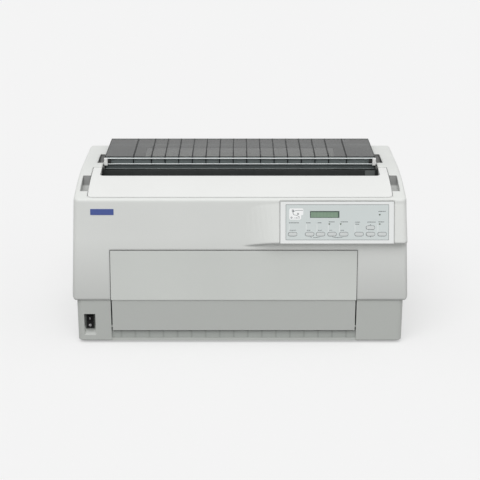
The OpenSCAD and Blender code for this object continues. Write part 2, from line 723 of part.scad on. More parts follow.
module base_pan() {
  r = front_corner_r;
  rr = rear_corner_r;
  color([0.66, 0.67, 0.66])
  difference() {
    union() {
      difference() {
        skin([
          plan_ring(base_half - 2, base_y(foot_h) + 2, back_y - 2, r, rr, foot_h, 6),
          plan_ring(base_half, base_y(foot_h + 2.5), back_y, r, rr, foot_h + 2.5, 6),
          plan_ring(base_half, base_y(split_z), back_y, r, rr, split_z, 6)]);
        skin([
          plan_ring(base_half - wall, base_y(floor_z) + wall, back_y - wall,
            r - wall, rr - wall, floor_z, 4),
          plan_ring(base_half - wall, base_y(split_z + 1) + wall, back_y - wall,
            r - wall, rr - wall, split_z + 1, 4)]);
        // front opening for the flap and the paper entry
        box([post_left, -case_d / 2, sill_z],
          [post_right, base_y(foot_h) + wall + 1, split_z + 1]);
        // sill, set back under the paper entry
        box([post_left, -case_d / 2, foot_h - 1],
          [post_right, base_y(sill_z) + 2, sill_z + 1]);
      }
      // sill's upright
      box([post_left, base_y(sill_z) + 2, foot_h], [post_right, sill_back_y, sill_z]);
      // inner walls of the two front posts
      intersection() {
        union() {
          box([post_left - wall, -case_d / 2, foot_h + 0.5],
            [post_left, flap_hinge_y + 14, split_z]);
          box([post_right, -case_d / 2, foot_h + 0.5],
            [post_right + wall, flap_hinge_y + 14, split_z]);
        }
        along_x(-case_w / 2, case_w / 2)
          polygon([[base_y(foot_h) + 1.5, foot_h], [base_y(split_z) + 1.5, split_z],
            [0, split_z], [0, foot_h]]);
      }
      // bosses round the flap's pins
      rod_x([flap_hinge_y, flap_hinge_z], flap_pin_r + 2.5, post_left - wall - 3,
        post_left);
      rod_x([flap_hinge_y, flap_hinge_z], flap_pin_r + 2.5, post_right,
        post_right + wall + 3);
      // walls of the switch recess
      box([switch_mid_x - recess_w / 2 - wall, base_y(foot_h) + 1, foot_h + 1],
        [switch_mid_x + recess_w / 2 + wall, switch_floor_y + wall, switch_z + 22]);
      // bosses that the chassis plate stands on
      for (x = [-frame_x + 20, 0, frame_x - 20], y = [plate_front_y + 18,
        plate_back_y - 18])
        translate([x, y, foot_h + 1]) cylinder(r = 7, h = plate_low - foot_h - 1);
    }
    // switch recess with its scooped lower edge
    box([switch_mid_x - recess_w / 2, -case_d / 2, switch_z - rocker_h / 2 - 2],
      [switch_mid_x + recess_w / 2, switch_floor_y, switch_z + rocker_h / 2 + 4]);
    rod_x([switch_floor_y - 17, switch_z - rocker_h / 2 - 1.9], 17,
      switch_mid_x - recess_w / 2, switch_mid_x + recess_w / 2);
    // hole for the switch body
    box([switch_mid_x - rocker_w / 2 - 1.5, switch_floor_y - 1, switch_z - rocker_h / 2 - 1.4],
      [switch_mid_x + rocker_w / 2 + 1.5, switch_floor_y + wall + 1,
        switch_z + rocker_h / 2 + 1.4]);
    // bores of the flap's pins
    rod_x([flap_hinge_y, flap_hinge_z], flap_pin_r + run, post_left - wall - 4,
      post_left + 1);
    rod_x([flap_hinge_y, flap_hinge_z], flap_pin_r + run, post_right - 1,
      post_right + wall + 4);
    // rear holes for the mains inlet and the interface connectors
    box([inlet_x - 14, back_y - wall - 1, inlet_z - 12],
      [inlet_x + 14, back_y + 1, inlet_z + 12]);
    box([port_x0, back_y - wall - 1, port_z0], [port_x1, back_y + 1, port_z1]);
  }
}

module rear_panel() {
  low = split_z + 22;
  high = case_h - 17;
  slots = 13;
  slot_pitch = 9;
  color([0.85, 0.86, 0.84])
  difference() {
    union() {
      translate([0, back_y, (low + high) / 2]) rotate([-90, 0, 0])
        linear_extrude(rear_panel_t) rounded(2 * frame_x - 8, high - low, 8);
      // locating rim inside the housing's opening
      difference() {
        box([-frame_x + 10 + seat, back_y - wall, split_z + 28 + seat],
          [frame_x - 10 - seat, back_y, case_h - 23 - seat]);
        box([-frame_x + 13, back_y - wall - 1, split_z + 31],
          [frame_x - 13, back_y + 1, case_h - 26]);
      }
    }
    // vent slots in front of the fan and over the power supply
    for (side = [fan_x, -fan_x], i = [0:slots - 1])
      translate([side, back_y - 1, fan_z + (i - (slots - 1) / 2) * slot_pitch])
        rotate([-90, 0, 0]) linear_extrude(rear_panel_t + 2) pill(92, 4.4);
  }
}

module rubber_feet() {
  color([0.1, 0.1, 0.1])
  for (sx = [-1, 1], y = [base_y(foot_h) + foot_inset, back_y - foot_inset])
    translate([sx * (base_half - foot_inset), y, 0]) difference() {
      union() {
        cylinder(r1 = foot_r - 1, r2 = foot_r, h = 1.5);
        translate([0, 0, 1.5]) cylinder(r = foot_r, h = foot_h - 1.5);
      }
      translate([0, 0, -1]) cylinder(r = 3.5, h = foot_h - 1);
    }
}

// ---- top lid ----
// Layer of the curved top between two depths under its surface
module arc_layer(depth0, depth1, x_half) {
  along_x(-x_half, x_half) intersection() {
    translate([arc_y, case_h - arc_r]) difference() {
      circle(arc_r - depth0, $fn = fine);
      circle(arc_r - depth1, $fn = fine);
    }
    translate([lid_front_y - 20, front_top_z - 60])
      square([lid_hinge_y - lid_front_y + 60, top_drop + 130]);
  }
}

// Outline of the lid seen from above, grown or shrunk by d
module lid_plan(d) {
  arm_w = (lid_w - slot_w) / 2;
  depth = lid_hinge_y - lid_front_y;
  difference() {
    translate([0, (lid_hinge_y + lid_front_y) / 2 + 10])
      rounded(lid_w + 2 * d, depth + 20 + 2 * d, lid_corner_r + d);
    translate([0, lid_hinge_y + 50]) square([lid_w + 20, 100], center = true);
    translate([0, slot_front_y - d + 40 + 8])
      square([lid_w - 2 * arm_w - 2 * d, 80], center = true);
    translate([0, slot_front_y - d + 8])
      square([lid_w - 2 * arm_w - 2 * d - 16, 16], center = true);
    for (s = [-1, 1])
      translate([s * (lid_w / 2 - arm_w - d - 8), slot_front_y - d + 8]) circle(8);
  }
}

module top_lid() {
  color([0.93, 0.93, 0.92])
  union() {
    difference() {
      intersection() {
        arc_layer(0, lid_skirt, lid_w);
        translate([0, 0, front_top_z - 60]) linear_extrude(160) lid_plan(0);
      }
      intersection() {
        arc_layer(wall, lid_skirt + 5, lid_w);
        translate([0, 0, front_top_z - 60]) linear_extrude(160) lid_plan(-wall);
      }
    }
    // stiffening ribs under the lid
    for (x = [-0.3 * lid_w, -0.1 * lid_w, 0.1 * lid_w, 0.3 * lid_w])
      intersection() {
        arc_layer(wall - 0.5, lid_skirt - 3, lid_w);
        box([x - 1, lid_front_y + 1, front_top_z - 60],
          [x + 1, slot_front_y - 1, case_h]);
      }
    for (s = [-1, 1]) scale([s, 1, 1]) {
      rod_x([lid_hinge_y, lid_hinge_z], lid_knuckle_r, slot_w / 2, lid_w / 2);
      rod_x([lid_hinge_y, lid_hinge_z], lid_pin_r, lid_w / 2 - 2,
        bay_half + pin_boss - 3);
    }
  }
}

// ---- ribbed rear cover ----
// Section of the rear cover as (Y, Z): front lip, rounded shoulder and plate
module cover_section(grow, t) {
  front = cover_front_y - grow * 0.6;
  high = cover_top_z + grow;
  r = 6 + grow;
  difference() {
    union() {
      translate([front, lip_low_z + (grow > 0 ? 4 : 0)])
        square([t + grow * 0.6, high - lip_low_z - r - (grow > 0 ? 4 : 0)]);
      translate([front + r, high - t - grow])
        square([cover_hinge_y - front - r - (grow > 0 ? 6 : 0), t + grow]);
      intersection() {
        translate([front + r, high - r]) circle(r);
        translate([front, high - r]) square(r);
      }
    }
    translate([cover_front_y + 6, cover_top_z - 6]) circle(6 - t);
  }
}

module smoke_cover() {
  rib_x = concat([for (i = [0:rib_count - 1]) (i - (rib_count - 1) / 2) * rib_pitch],
    [-outer_rib_x, outer_rib_x]);
  color([0.3, 0.32, 0.32, 0.8])
  difference() {
    union() {
      along_x(-cover_w / 2, cover_w / 2) cover_section(0, cover_t);
      for (x = rib_x) along_x(x - rib_w / 2, x + rib_w / 2)
        cover_section(rib_h, cover_t);
      // side skirts
      for (s = [-1, 1]) scale([s, 1, 1])
        box([cover_w / 2 - cover_t, cover_front_y + cover_t - 0.5, case_h + seam],
          [cover_w / 2, cover_hinge_y, cover_top_z - cover_t + 0.5]);
      // rear skirt and hinge roll
      rod_x([cover_hinge_y, cover_hinge_z], cover_roll_r, -cover_w / 2, cover_w / 2);
      box([-cover_w / 2, cover_hinge_y + cover_roll_r - cover_t, cover_hinge_z],
        [cover_w / 2, cover_hinge_y + cover_roll_r, cover_top_z]);
      box([-cover_w / 2, cover_hinge_y - 2, cover_top_z - cover_t],
        [cover_w / 2, cover_hinge_y + cover_roll_r, cover_top_z]);
    }
    // notches round the hinge ears, with the pins left standing
    for (s = [-1, 1])
      difference() {
        translate([s * cover_ear_x, 0, 0])
          box([-cover_ear_w / 2 - ear_gap, cover_hinge_y - cover_roll_r - 3,
            case_h - 1],
            [cover_ear_w / 2 + ear_gap, cover_hinge_y + cover_roll_r + 1,
              cover_hinge_z + cover_roll_r + 1]);
        rod_x([cover_hinge_y, cover_hinge_z], cover_pin_r, -cover_w / 2,
          cover_w / 2);
      }
  }
}

module wire_brackets() {
  color([0.85, 0.85, 0.84])
  for (s = [-1, 1]) scale([s, 1, 1]) difference() {
    translate([cover_w / 2 - bracket_w + 0.8, cover_front_y - bracket_d,
      cover_top_z - 1.5 - bracket_h])
      along_x(0, bracket_w) translate([bracket_d / 2, bracket_h / 2])
        rounded(bracket_d, bracket_h, 2);
    for (z = [upper_wire_z, lower_wire_z])
      rod_x([wire_y, z], wire_r, cover_w / 2 - bracket_w - 2,
        wire_len / 2);
  }
}

module guide_wires() {
  color([0.8, 0.8, 0.8])
  for (z = [upper_wire_z, lower_wire_z])
    rod_x([wire_y, z], wire_r, -wire_len / 2, wire_len / 2);
}

// ---- front flap ----
// Outer face of the flap as (Y, Z), set in by d
function flap_line(d) = [
  [front_y(flap_top_z) + d, flap_top_z - (d > 0 ? d : 0)],
  [front_y(split_z) + d, split_z + d * 0.2],
  [base_y(split_z) + d, split_z - 2.2 + d * 0.2],
  [base_y(flap_low) + d, flap_low]
];

module front_flap() {
  outer = flap_line(0);
  inner = flap_line(flap_t);
  color([0.74, 0.75, 0.74])
  union() {
    difference() {
      along_x(flap_left, flap_right)
        polygon([outer[0], outer[1], outer[2], outer[3], inner[3], inner[2],
          inner[1], inner[0], [front_y(flap_top_z) + flap_fold, flap_top_z - flap_t],
          [front_y(flap_top_z) + flap_fold, flap_top_z]]);
      // narrower lower part, between the posts
      for (x = [[flap_left - 1, flap_left + flap_lower_inset],
        [flap_right - flap_lower_inset, flap_right + 1]])
        box([x[0], -case_d / 2, flap_low - 1], [x[1], 0, split_z - 2]);
    }
    // side returns with the hinge arms
    for (x = [flap_left + flap_lower_inset, flap_right - flap_lower_inset - flap_t])
      along_x(x, x + flap_t) {
        polygon([inner[0] - [0.5, 0], inner[1] - [0.5, 0], inner[2] - [0.5, 0],
          [base_y(flap_hinge_z) + 1, flap_hinge_z - 4],
          [flap_hinge_y, flap_hinge_z - 5], [flap_hinge_y + 4, flap_hinge_z + 4],
          [front_y(split_z) + 11, split_z], [front_y(flap_top_z) + flap_fold, flap_top_z - 1]]);
        translate([flap_hinge_y, flap_hinge_z]) circle(5.5);
      }
    // hinge pins
    rod_x([flap_hinge_y, flap_hinge_z], flap_pin_r, post_left - wall - 2,
      flap_left + flap_lower_inset + 1);
    rod_x([flap_hinge_y, flap_hinge_z], flap_pin_r, flap_right - flap_lower_inset - 1,
      post_right + wall + 2);
    // long stiffening rib at the crease
    along_x(flap_left + flap_lower_inset, flap_right - flap_lower_inset)
      translate([front_y(split_z) + flap_t - 0.5, split_z + 8]) square([7, 2]);
  }
}

// Guide that leads the paper from the sill, under the flap's swinging edge, up to the tractors
module front_paper_guide() {
  t = 2.2;
  ribs = floor((post_right - post_left - 20) / guide_rib_pitch / 2);
  mid = (post_left + post_right) / 2;
  foot_z = foot_h + wall + 0.2;
  bend_z = flap_hinge_z - flap_swing_r - 2.3;
  ramp_y = flap_hinge_y + flap_swing_r + guide_rib + 1;
  rise_z = bend_z + 36;
  module section(out) {
    face = [[guide_face_y, foot_z], [guide_face_y, bend_z], [ramp_y, bend_z + 5],
      [guide_back_y, rise_z], [guide_back_y, guide_top_z]];
    back = [[t, 0], [t, -0.4 * t], [t, -0.4 * t], [t, -0.4 * t], [t, 0]];
    polygon(concat([for (p = face) p - [out, 0]], [for (i = [4:-1:0]) face[i] + back[i]]));
  }
  color([0.62, 0.64, 0.63]) {
    along_x(post_left + 0.2, post_right - 0.2) section(0);
    for (i = [-ribs:ribs])
      along_x(mid + i * guide_rib_pitch - 0.8, mid + i * guide_rib_pitch + 0.8)
        section(guide_rib);
    // end cheeks against the posts
    for (x = [post_left + 0.2, post_right - 2.7])
      box([x, guide_face_y + 1, foot_z], [x + 2.5, ramp_y + t - 1, bend_z - 3]);
  }
}

// ---- paper exit ----
module paper_exit_guide() {
  shelf_z = exit_top_z - 3;
  color([0.16, 0.17, 0.17])
  difference() {
    union() {
      along_x(-frame_x, frame_x)
        polygon([[exit_wall_y, exit_top_z], [exit_wall_y, shelf_z - 30],
          [platen_y + platen_r + 4, platen_axis_z + 6],
          [platen_y + platen_r + 6.5, platen_axis_z + 6],
          [exit_wall_y + 2.5, shelf_z - 32], [exit_wall_y + 2.5, shelf_z],
          [exit_wall_y + 90, shelf_z], [exit_wall_y + 90, exit_top_z]]);
      // guide ribs in the slot
      for (i = [-9:9])
        box([i * rib_pitch - 0.8, exit_wall_y - 1.2, shelf_z - 24],
          [i * rib_pitch + 0.8, exit_wall_y + 1, exit_top_z]);
      // end cheeks against the side frames
      for (x = [-frame_x, frame_x - 2.5])
        box([x, exit_wall_y + 1, platen_axis_z + 8], [x + 2.5, exit_wall_y + 50,
          shelf_z + 1]);
    }
    // long air slots in the shelf
    for (i = [-6:6])
      translate([i * 42, exit_wall_y + 60, shelf_z - 1]) linear_extrude(6)
        pill(32, 8);
  }
}

// ---- control panel ----
module control_bezel() {
  x0 = panel_left + seam;
  x1 = panel_right - seam;
  low = panel_foot_z;
  inner_back = front_top_y + wall + 3;
  color([0.87, 0.88, 0.87])
  difference() {
    along_x(x0, x1) polygon([
      [face_y(bezel_top_z), bezel_top_z], [face_y(low), low],
      [front_y(low - 3) - 0.5, low - 3 + seam], [inner_back, low - 3 + seam],
      [inner_back, bezel_top_z]]);
    along_x(x0 + 2.5, x1 - 2.5) polygon([
      [face_y(bezel_top_z) + bezel_wall + 2, bezel_top_z - 2.5],
      [face_y(bezel_top_z) + bezel_wall, bezel_top_z - 2.5],
      [face_y(low + 3) + bezel_wall, low + 3], [inner_back + 1, low + 3],
      [inner_back + 1, bezel_top_z - 2.5]]);
    // seat of the overlay
    panel_sheet(0, overlay_t, overlay_t + 2);
    panel_holes(0.5);
    on_panel(lcd_left + lcd_w / 2, window_z) translate([0, 0, -8])
      linear_extrude(10) square([lcd_w + 0.6, lcd_h + 0.6], center = true);
  }
}

// Sheet of the overlay's outline, from depth below the face up to depth - t below it
module panel_sheet(shrink, depth, t) {
  mid_z = (film_low_z + film_top_z) / 2;
  on_panel((overlay_left + overlay_right) / 2, mid_z) translate([0, 0, -depth])
    linear_extrude(t) rounded(overlay_right - overlay_left - 2 * shrink,
      (film_top_z - film_low_z) / cos(face_tilt) - 2 * shrink, 1.5);
}

// Holes for the buttons and lamps, with clearance gap round each
module panel_holes(gap) {
  for (i = [0:len(button_x) - 1])
    on_panel(button_x[i], button_z[i]) translate([0, 0, -8])
      linear_extrude(10) pill(button_len + 2 * gap, button_h + 2 * gap);
  for (i = [0:len(lamp_x) - 1])
    on_panel(lamp_x[i], lamp_z[i]) translate([0, 0, -8])
      cylinder(r = lamp_r + 0.2, h = 10);
}

module panel_overlay() {
  color([0.8, 0.82, 0.81])
  difference() {
    panel_sheet(0.15, overlay_t, overlay_t);
    panel_holes(0.35);
    on_panel(lcd_left + lcd_w / 2, window_z) translate([0, 0, -8])
      linear_extrude(10) square([lcd_w + 0.4, lcd_h + 0.4], center = true);
  }
}

module lcd_module() {
  color([0.5, 0.6, 0.5])
  on_panel(lcd_left + lcd_w / 2, window_z) {
    translate([0, 0, -board_depth]) linear_extrude(board_depth - bezel_wall - 0.8)
      square([lcd_w + 12, lcd_h + 10], center = true);
    translate([0, 0, -bezel_wall - 1]) linear_extrude(bezel_wall + 0.4)
      square([lcd_w, lcd_h], center = true);
  }
}

module panel_board() {
  board_t = 1.6;
  foot = board_depth + 0.5;
  board_h = film_top_z - film_low_z - 8;
  color([0.1, 0.4, 0.25]) {
    on_panel((overlay_left + overlay_right) / 2, (film_low_z + film_top_z) / 2)
      translate([0, 0, -board_depth - board_t - 0.1]) linear_extrude(board_t)
        square([overlay_right - overlay_left - 8, board_h], center = true);
    // key switches under the buttons
    for (i = [0:len(button_x) - 1])
      on_panel(button_x[i], button_z[i])
        translate([0, 0, -foot]) linear_extrude(1.8) square([6, 6], center = true);
    // lamps
    for (i = [0:len(lamp_x) - 1])
      on_panel(lamp_x[i], lamp_z[i]) translate([0, 0, -foot])
        cylinder(r = lamp_r, h = foot - 0.3);
    // posts that hold the board to the frame
    for (x = [overlay_left + 10, overlay_right - 10])
      on_panel(x, film_top_z - 8) translate([0, 0, -foot])
        cylinder(r = 2.5, h = foot - bezel_wall - 1.8);
  }
}

// Button number i: cap, flange behind the frame and stem to its key switch
module button(i) {
  color([0.88, 0.89, 0.88])
  on_panel(button_x[i], button_z[i]) {
    translate([0, 0, -bezel_wall - 0.4]) linear_extrude(bezel_wall + 0.4 + button_out)
      pill(button_len, button_h);
    translate([0, 0, -bezel_wall - 0.2 - button_flange]) linear_extrude(button_flange)
      pill(button_len + 1.6, button_h + 1.6);
    translate([0, 0, -board_depth + 1.4 + button_travel + 0.2])
      cylinder(r = 2, h = board_depth - bezel_wall - 3);
  }
}

module front_rear_button() button(0);
module load_button() button(1);
module eject_button() button(2);
module tear_off_button() button(3);
module pitch_button() button(4);
module form_feed_button() button(5);
module micro_feed_up_button() button(6);
module micro_feed_down_button() button(7);
module pause_button() button(8);

module power_rocker() {
  half = rocker_h / 2;
  color([0.05, 0.05, 0.05])
  translate([switch_mid_x - rocker_w / 2, rocker_at[0], rocker_at[1]])
    rotate([-rocker_tilt, 0, 0]) along_x(0, rocker_w) difference() {
      union() {
        intersection() {
          circle(half - 0.6);
          translate([-half, -half]) square([half + 1, rocker_h]);
          polygon([[-3.2, 0], [-6.2, half], [8, half], [8, -half], [-6.2, -half]]);
        }
        circle(2.6);
      }
      circle(1.5 + run);
    }
}

module power_switch_body() {
  y0 = switch_floor_y;
  w = rocker_w / 2 + 1.4;
  h = rocker_h / 2 + 1.3;
  color([0.08, 0.08, 0.08]) {
    difference() {
      union() {
        box([switch_mid_x - w, y0 - 0.6, switch_z - h], [switch_mid_x + w, y0 + 22,
          switch_z + h]);
        box([switch_mid_x - w - 1.2, y0 - 1, switch_z - h - 0.4],
          [switch_mid_x + w + 1.2, y0 - eps, switch_z + h + 1.2]);
      }
      box([switch_mid_x - rocker_w / 2 - 0.3, y0 - 2, switch_z - rocker_h / 2 - 0.3],
        [switch_mid_x + rocker_w / 2 + 0.3, y0 + 15, switch_z + rocker_h / 2 + 0.3]);
    }
    // pivot across the switch, and its two blade terminals
    rod_x(rocker_at, 1.5, switch_mid_x - w, switch_mid_x + w);
    for (z = [-8, 8])
      box([switch_mid_x - 3, y0 + 21, switch_z + z - 0.4],
        [switch_mid_x + 3, y0 + 30, switch_z + z + 0.4]);
  }
}

// ---- rear connectors and fan ----
module ac_inlet() {
  color([0.07, 0.07, 0.07])
  difference() {
    union() {
      translate([inlet_x, back_y, inlet_z]) rotate([-90, 0, 0])
        linear_extrude(2.5) rounded(48, 28, 4);
      box([inlet_x - 13.6, back_y - 20, inlet_z - 11.6],
        [inlet_x + 13.6, back_y + 1, inlet_z + 11.6]);
    }
    translate([inlet_x, back_y - 14, inlet_z]) rotate([-90, 0, 0])
      linear_extrude(20) polygon([[-11, -8], [11, -8], [11, 3.5], [6.5, 8],
        [-6.5, 8], [-11, 3.5]]);
    for (s = [-1, 1]) translate([inlet_x + s * 20, back_y - 1, inlet_z])
      rotate([-90, 0, 0]) cylinder(r = 1.6, h = 6);
  }
}

module interface_ports() {
  mid = (port_z0 + port_z1) / 2;
  y0 = back_y - wall - 12;
  color([0.7, 0.71, 0.72]) {
    // steel face plate with the shells of the connectors
    difference() {
      box([port_x0 + seat, back_y - wall - 2, port_z0 + seat],
        [port_x1 - seat, back_y - wall + 0.5, port_z1 - seat]);
      for (x = [port_x0 + 16, port_x0 + 70, port_x0 + 115])
        box([x - 5, back_y - 12, mid - 4], [x + 5, back_y, mid + 4]);
    }
    for (c = [[port_x0 + 42, 54], [port_x0 + 107, 38]])
      difference() {
        translate([c[0], y0, mid]) rotate([-90, 0, 0])
          linear_extrude(wall + 13) rounded(c[1], 12, 3);
        translate([c[0], back_y - 6, mid]) rotate([-90, 0, 0])
          linear_extrude(10) rounded(c[1] - 3, 9, 2.5);
      }
    box([port_x1 - 15, y0, mid - 6], [port_x1 - 3, back_y - 0.5, mid + 6]);
  }
}

module fan_frame() {
  h = fan_size / 2;
  color([0.12, 0.12, 0.13])
  translate([fan_x, back_y, fan_z]) rotate([90, 0, 0]) {
    linear_extrude(fan_depth) difference() {
      rounded(fan_size, fan_size, 5);
      circle(h - 2);
      for (sx = [-1, 1], sy = [-1, 1]) translate([sx * (h - 5), sy * (h - 5)]) circle(2.2);
    }
    // motor seat carried on four struts, with the rotor's bearing
    difference() {
      union() {
        cylinder(r = fan_hub_r, h = 4);
        for (a = [45:90:315]) rotate(a)
          translate([fan_hub_r - 1, -2, 0]) cube([h - fan_hub_r, 4, 3]);
      }
      translate([0, 0, -1]) cylinder(r = 2 + run, h = 6);
    }
  }
}

module fan_rotor() {
  h = fan_size / 2;
  blades = 7;
  color([0.15, 0.15, 0.16])
  translate([fan_x, back_y, fan_z]) rotate([90, 0, 0]) {
    translate([0, 0, 1]) cylinder(r = 2, h = 6);
    translate([0, 0, 4.6]) cylinder(r = fan_hub_r, h = fan_depth - 6);
    for (i = [0:blades - 1]) rotate(i * 360 / blades)
      translate([fan_hub_r - 1, 0, 13]) rotate([38, 0, 0])
        translate([0, -10, -0.8]) cube([h - 4.5 - fan_hub_r + 1, 20, 1.6]);
  }
}

// ---- chassis ----
module chassis_plate() {
  half = frame_x + 14;
  color([0.72, 0.73, 0.74])
  difference() {
    union() {
      box([-half, plate_front_y, plate_low], [half, plate_back_y, plate_z]);
      // stiffening flange along the front
      box([-half, plate_front_y, plate_low], [half, plate_front_y + 2, plate_z + 8]);
    }
    for (x = [-frame_x + 20, 0, frame_x - 20], y = [plate_front_y + 18,
      plate_back_y - 18])
      translate([x, y, plate_low - 1]) cylinder(r = 2.2, h = 5);
    for (i = [-4:4]) translate([i * 60 + 30, -60, plate_low - 1])
      linear_extrude(5) pill(40, 12);
  }
}

// Outline of a side frame as (Y, Z)
module frame_outline() {
  low = plate_z;
  high = platen_axis_z + 32;
  difference() {
    polygon([[plate_front_y + 8, low], [frame_back_y, low], [frame_back_y, low + 97],
      [frame_back_y - 50, low + 137], [frame_back_y - 80, platen_axis_z - 37],
      [exit_wall_y + 52, platen_axis_z + 10], [exit_wall_y + 52, high - 6],
      [exit_wall_y + 46, high],
      [-60, high], [-70, guide_axis_z + 24], [front_guide_y - 24, guide_axis_z + 24],
      [front_guide_y - 34, guide_axis_z + 10], [rod_at[0] - 14, guide_axis_z - 8],
      [rod_at[0] - 14, rod_at[1] - 16], [plate_front_y + 8, rod_at[1] - 36]]);
    translate([30, 90]) circle(34);
    translate([-50, 90]) circle(30);
    translate([15, 178]) circle(20);
  }
}

// Side frame with its foot flange, on the side s
module side_frame(s) {
  scale([s, 1, 1]) {
    difference() {
      union() {
        along_x(frame_x, frame_x + frame_t) frame_outline();
        box([frame_x, plate_front_y + 10, plate_z],
          [frame_x + frame_t + 11, frame_back_y - 2, plate_z + 2]);
      }
      rod_x(platen_at, platen_shaft_r + run, frame_x - 1, frame_x + frame_t + 1);
      rod_x([rear_guide_y, guide_axis_z], guide_r, frame_x - 1, frame_x + frame_t + 1);
      rod_x([front_guide_y, guide_axis_z], guide_r, frame_x - 1, frame_x + frame_t + 1);
      rod_x(rod_at, rod_r, frame_x - 1, frame_x + frame_t + 1);
      rod_x(shaft_at, journal_r + run, frame_x - 1, frame_x + frame_t + 1);
      rod_x(pinion_at, 4, frame_x - 1, frame_x + frame_t + 1);
    }
  }
}

module left_side_frame() {
  color([0.74, 0.75, 0.76]) side_frame(-1);
}

module right_side_frame() {
  color([0.74, 0.75, 0.76]) {
    side_frame(1);
    // stud that the idler gear turns on
    rod_x(idler_at, idler_stud_r, frame_x + 1, gear_x + gear_w + 2.5);
    rod_x(idler_at, idler_stud_r + 2, frame_x + 1, gear_x - 0.5);
  }
}

module cross_stay() {
  color([0.68, 0.69, 0.7])
  difference() {
    union() {
      box([-frame_x, stay_front_y, stay_z - stay_t], [frame_x, stay_back_y, stay_z]);
      box([-frame_x, stay_back_y - 2, stay_z - 18], [frame_x, stay_back_y, stay_z]);
      box([-frame_x, stay_front_y, stay_z - 8], [pulley_x - motor_r - 6,
        stay_front_y + 2, stay_z]);
      // post of the idler pulley
      translate([-pulley_x, belt_y, stay_z - stay_t]) cylinder(r = 3,
        h = belt_high - stay_z + stay_t + 3);
      translate([-pulley_x, belt_y, stay_z - 1]) cylinder(r = 7, h = 2.4);
    }
    // hole for the motor's neck
    translate([pulley_x, belt_y, stay_z - stay_t - 1]) cylinder(r = 9, h = stay_t + 2);
    for (i = [-3:3]) translate([i * 66, belt_y, stay_z - stay_t - 1])
      linear_extrude(stay_t + 2) pill(46, 16);
  }
}

module guide_shafts() {
  color([0.82, 0.83, 0.84]) {
    rod_x([rear_guide_y, guide_axis_z], guide_r, -frame_x - frame_t, frame_x + frame_t);
    rod_x([front_guide_y, guide_axis_z], guide_r, -frame_x - frame_t, frame_x + frame_t);
    rod_x(rod_at, rod_r, -frame_x - frame_t, frame_x + frame_t);
  }
}

// ---- print head and its drive ----
module carriage() {
  x0 = carriage_x - carriage_w / 2;
  x1 = carriage_x + carriage_w / 2;
  clamp_y = belt_y - pulley_r;
  color([0.1, 0.1, 0.11])
  difference() {
    union() {
      along_x(x0, x1) difference() {
        translate([front_guide_y - carriage_reach, carriage_low])
          square([guide_span + 2 * carriage_reach, carriage_top - carriage_low]);
        translate([front_guide_y + guide_r + 7, carriage_low - 1])
          square([guide_span - 2 * guide_r - 14, 10]);
      }
      // cradle cheeks beside the print head
      for (x = [carriage_x - head_r - 6, carriage_x + head_r + 1])
        box([x, rear_guide_y - 34, carriage_top - 1],
          [x + 5, rear_guide_y + 2, head_z - 4]);
      // belt clamp
      box([carriage_x - 10, clamp_y - 5, belt_low - 1.5],
        [carriage_x + 10, clamp_y + 5, carriage_low + 10]);
    }
    rod_x([rear_guide_y, guide_axis_z], guide_r + run, x0 - 1, x1 + 1);
    rod_x([front_guide_y, guide_axis_z], guide_r + run, x0 - 1, x1 + 1);
    box([carriage_x - 11, clamp_y - belt_t / 2 - 0.4, belt_low - 0.5],
      [carriage_x + 11, clamp_y + belt_t / 2 + 0.4, belt_high + 0.6]);
  }
}

module print_head() {
  y1 = rear_guide_y + 6;
  y0 = y1 - 44;
  fin_pitch = 42 / fin_count;
  color([0.35, 0.36, 0.37])
  translate([carriage_x, 0, head_z]) {
    translate([0, y0, 0]) rotate([-90, 0, 0]) cylinder(r = head_r - 5, h = y1 - y0);
    // cooling fins
    for (i = [0:fin_count - 1])
      translate([0, y0 + 1 + i * fin_pitch, 0]) rotate([-90, 0, 0])
        cylinder(r = head_r, h = fin_pitch * 0.42);
    // tapered nose with the wire guide
    translate([0, y1 - 1, 0]) rotate([-90, 0, 0])
      cylinder(r1 = head_r - 6, r2 = 7, h = (head_nose_y - y1) * 0.7 + 1);
    box([-4, y1, -8], [4, head_nose_y, 8]);
    // saddle that bolts to the carriage
    box([-head_r, y0 + 12, carriage_top - head_z], [head_r, y1, -head_r + 8]);
  }
}

module ribbon_cartridge() {
  arm_y = head_nose_y - 15;
  tip = ribbon_y + 0.2 - arm_y;
  color([0.09, 0.09, 0.1])
  difference() {
    union() {
      // long box of ribbon, with a ridged lid
      box([-frame_x + 26, cartridge_front_y, cartridge_low],
        [frame_x - 26, cartridge_back_y, cartridge_high]);
      for (i = [-7:7]) box([i * 30 - 1, cartridge_front_y + 3, cartridge_high - 1],
        [i * 30 + 1, cartridge_back_y - 3, cartridge_high + 1.2]);
      // arms that carry the ribbon round the print head
      for (s = [-1, 1]) scale([s, 1, 1]) {
        box([arm_in, cartridge_front_y, cartridge_low + 2],
          [frame_x - 0.2, cartridge_back_y, cartridge_high - 4]);
        box([arm_in, cartridge_back_y - 1, cartridge_low + 2],
          [frame_x - 0.2, arm_y + 0.5, cartridge_high - 10]);
        translate([arm_in, arm_y, head_z - 9]) linear_extrude(18)
          polygon([[0, 0], [frame_x - 0.2 - arm_in, 0], [14, 12.5], [2, tip],
            [0, tip]]);
      }
      // ribbon stretched across the print line
      box([-arm_in - 1, ribbon_y, head_z - 6.5], [arm_in + 1, ribbon_y + ribbon_t,
        head_z + 6.5]);
    }
    translate([knob_x, knob_y, cartridge_high - 6]) cylinder(r = 3 + run, h = 12);
  }
}

module ribbon_knob() {
  flutes = 12;
  color([0.2, 0.35, 0.6])
  translate([knob_x, knob_y, cartridge_high + 1.6]) {
    difference() {
      cylinder(r = knob_r, h = 7);
      for (i = [0:flutes - 1]) rotate(i * 360 / flutes)
        translate([knob_r + 0.6, 0, -1]) cylinder(r = 1.6, h = 9, $fn = 16);
    }
    translate([0, 0, -7]) cylinder(r = 3, h = 8);
  }
}

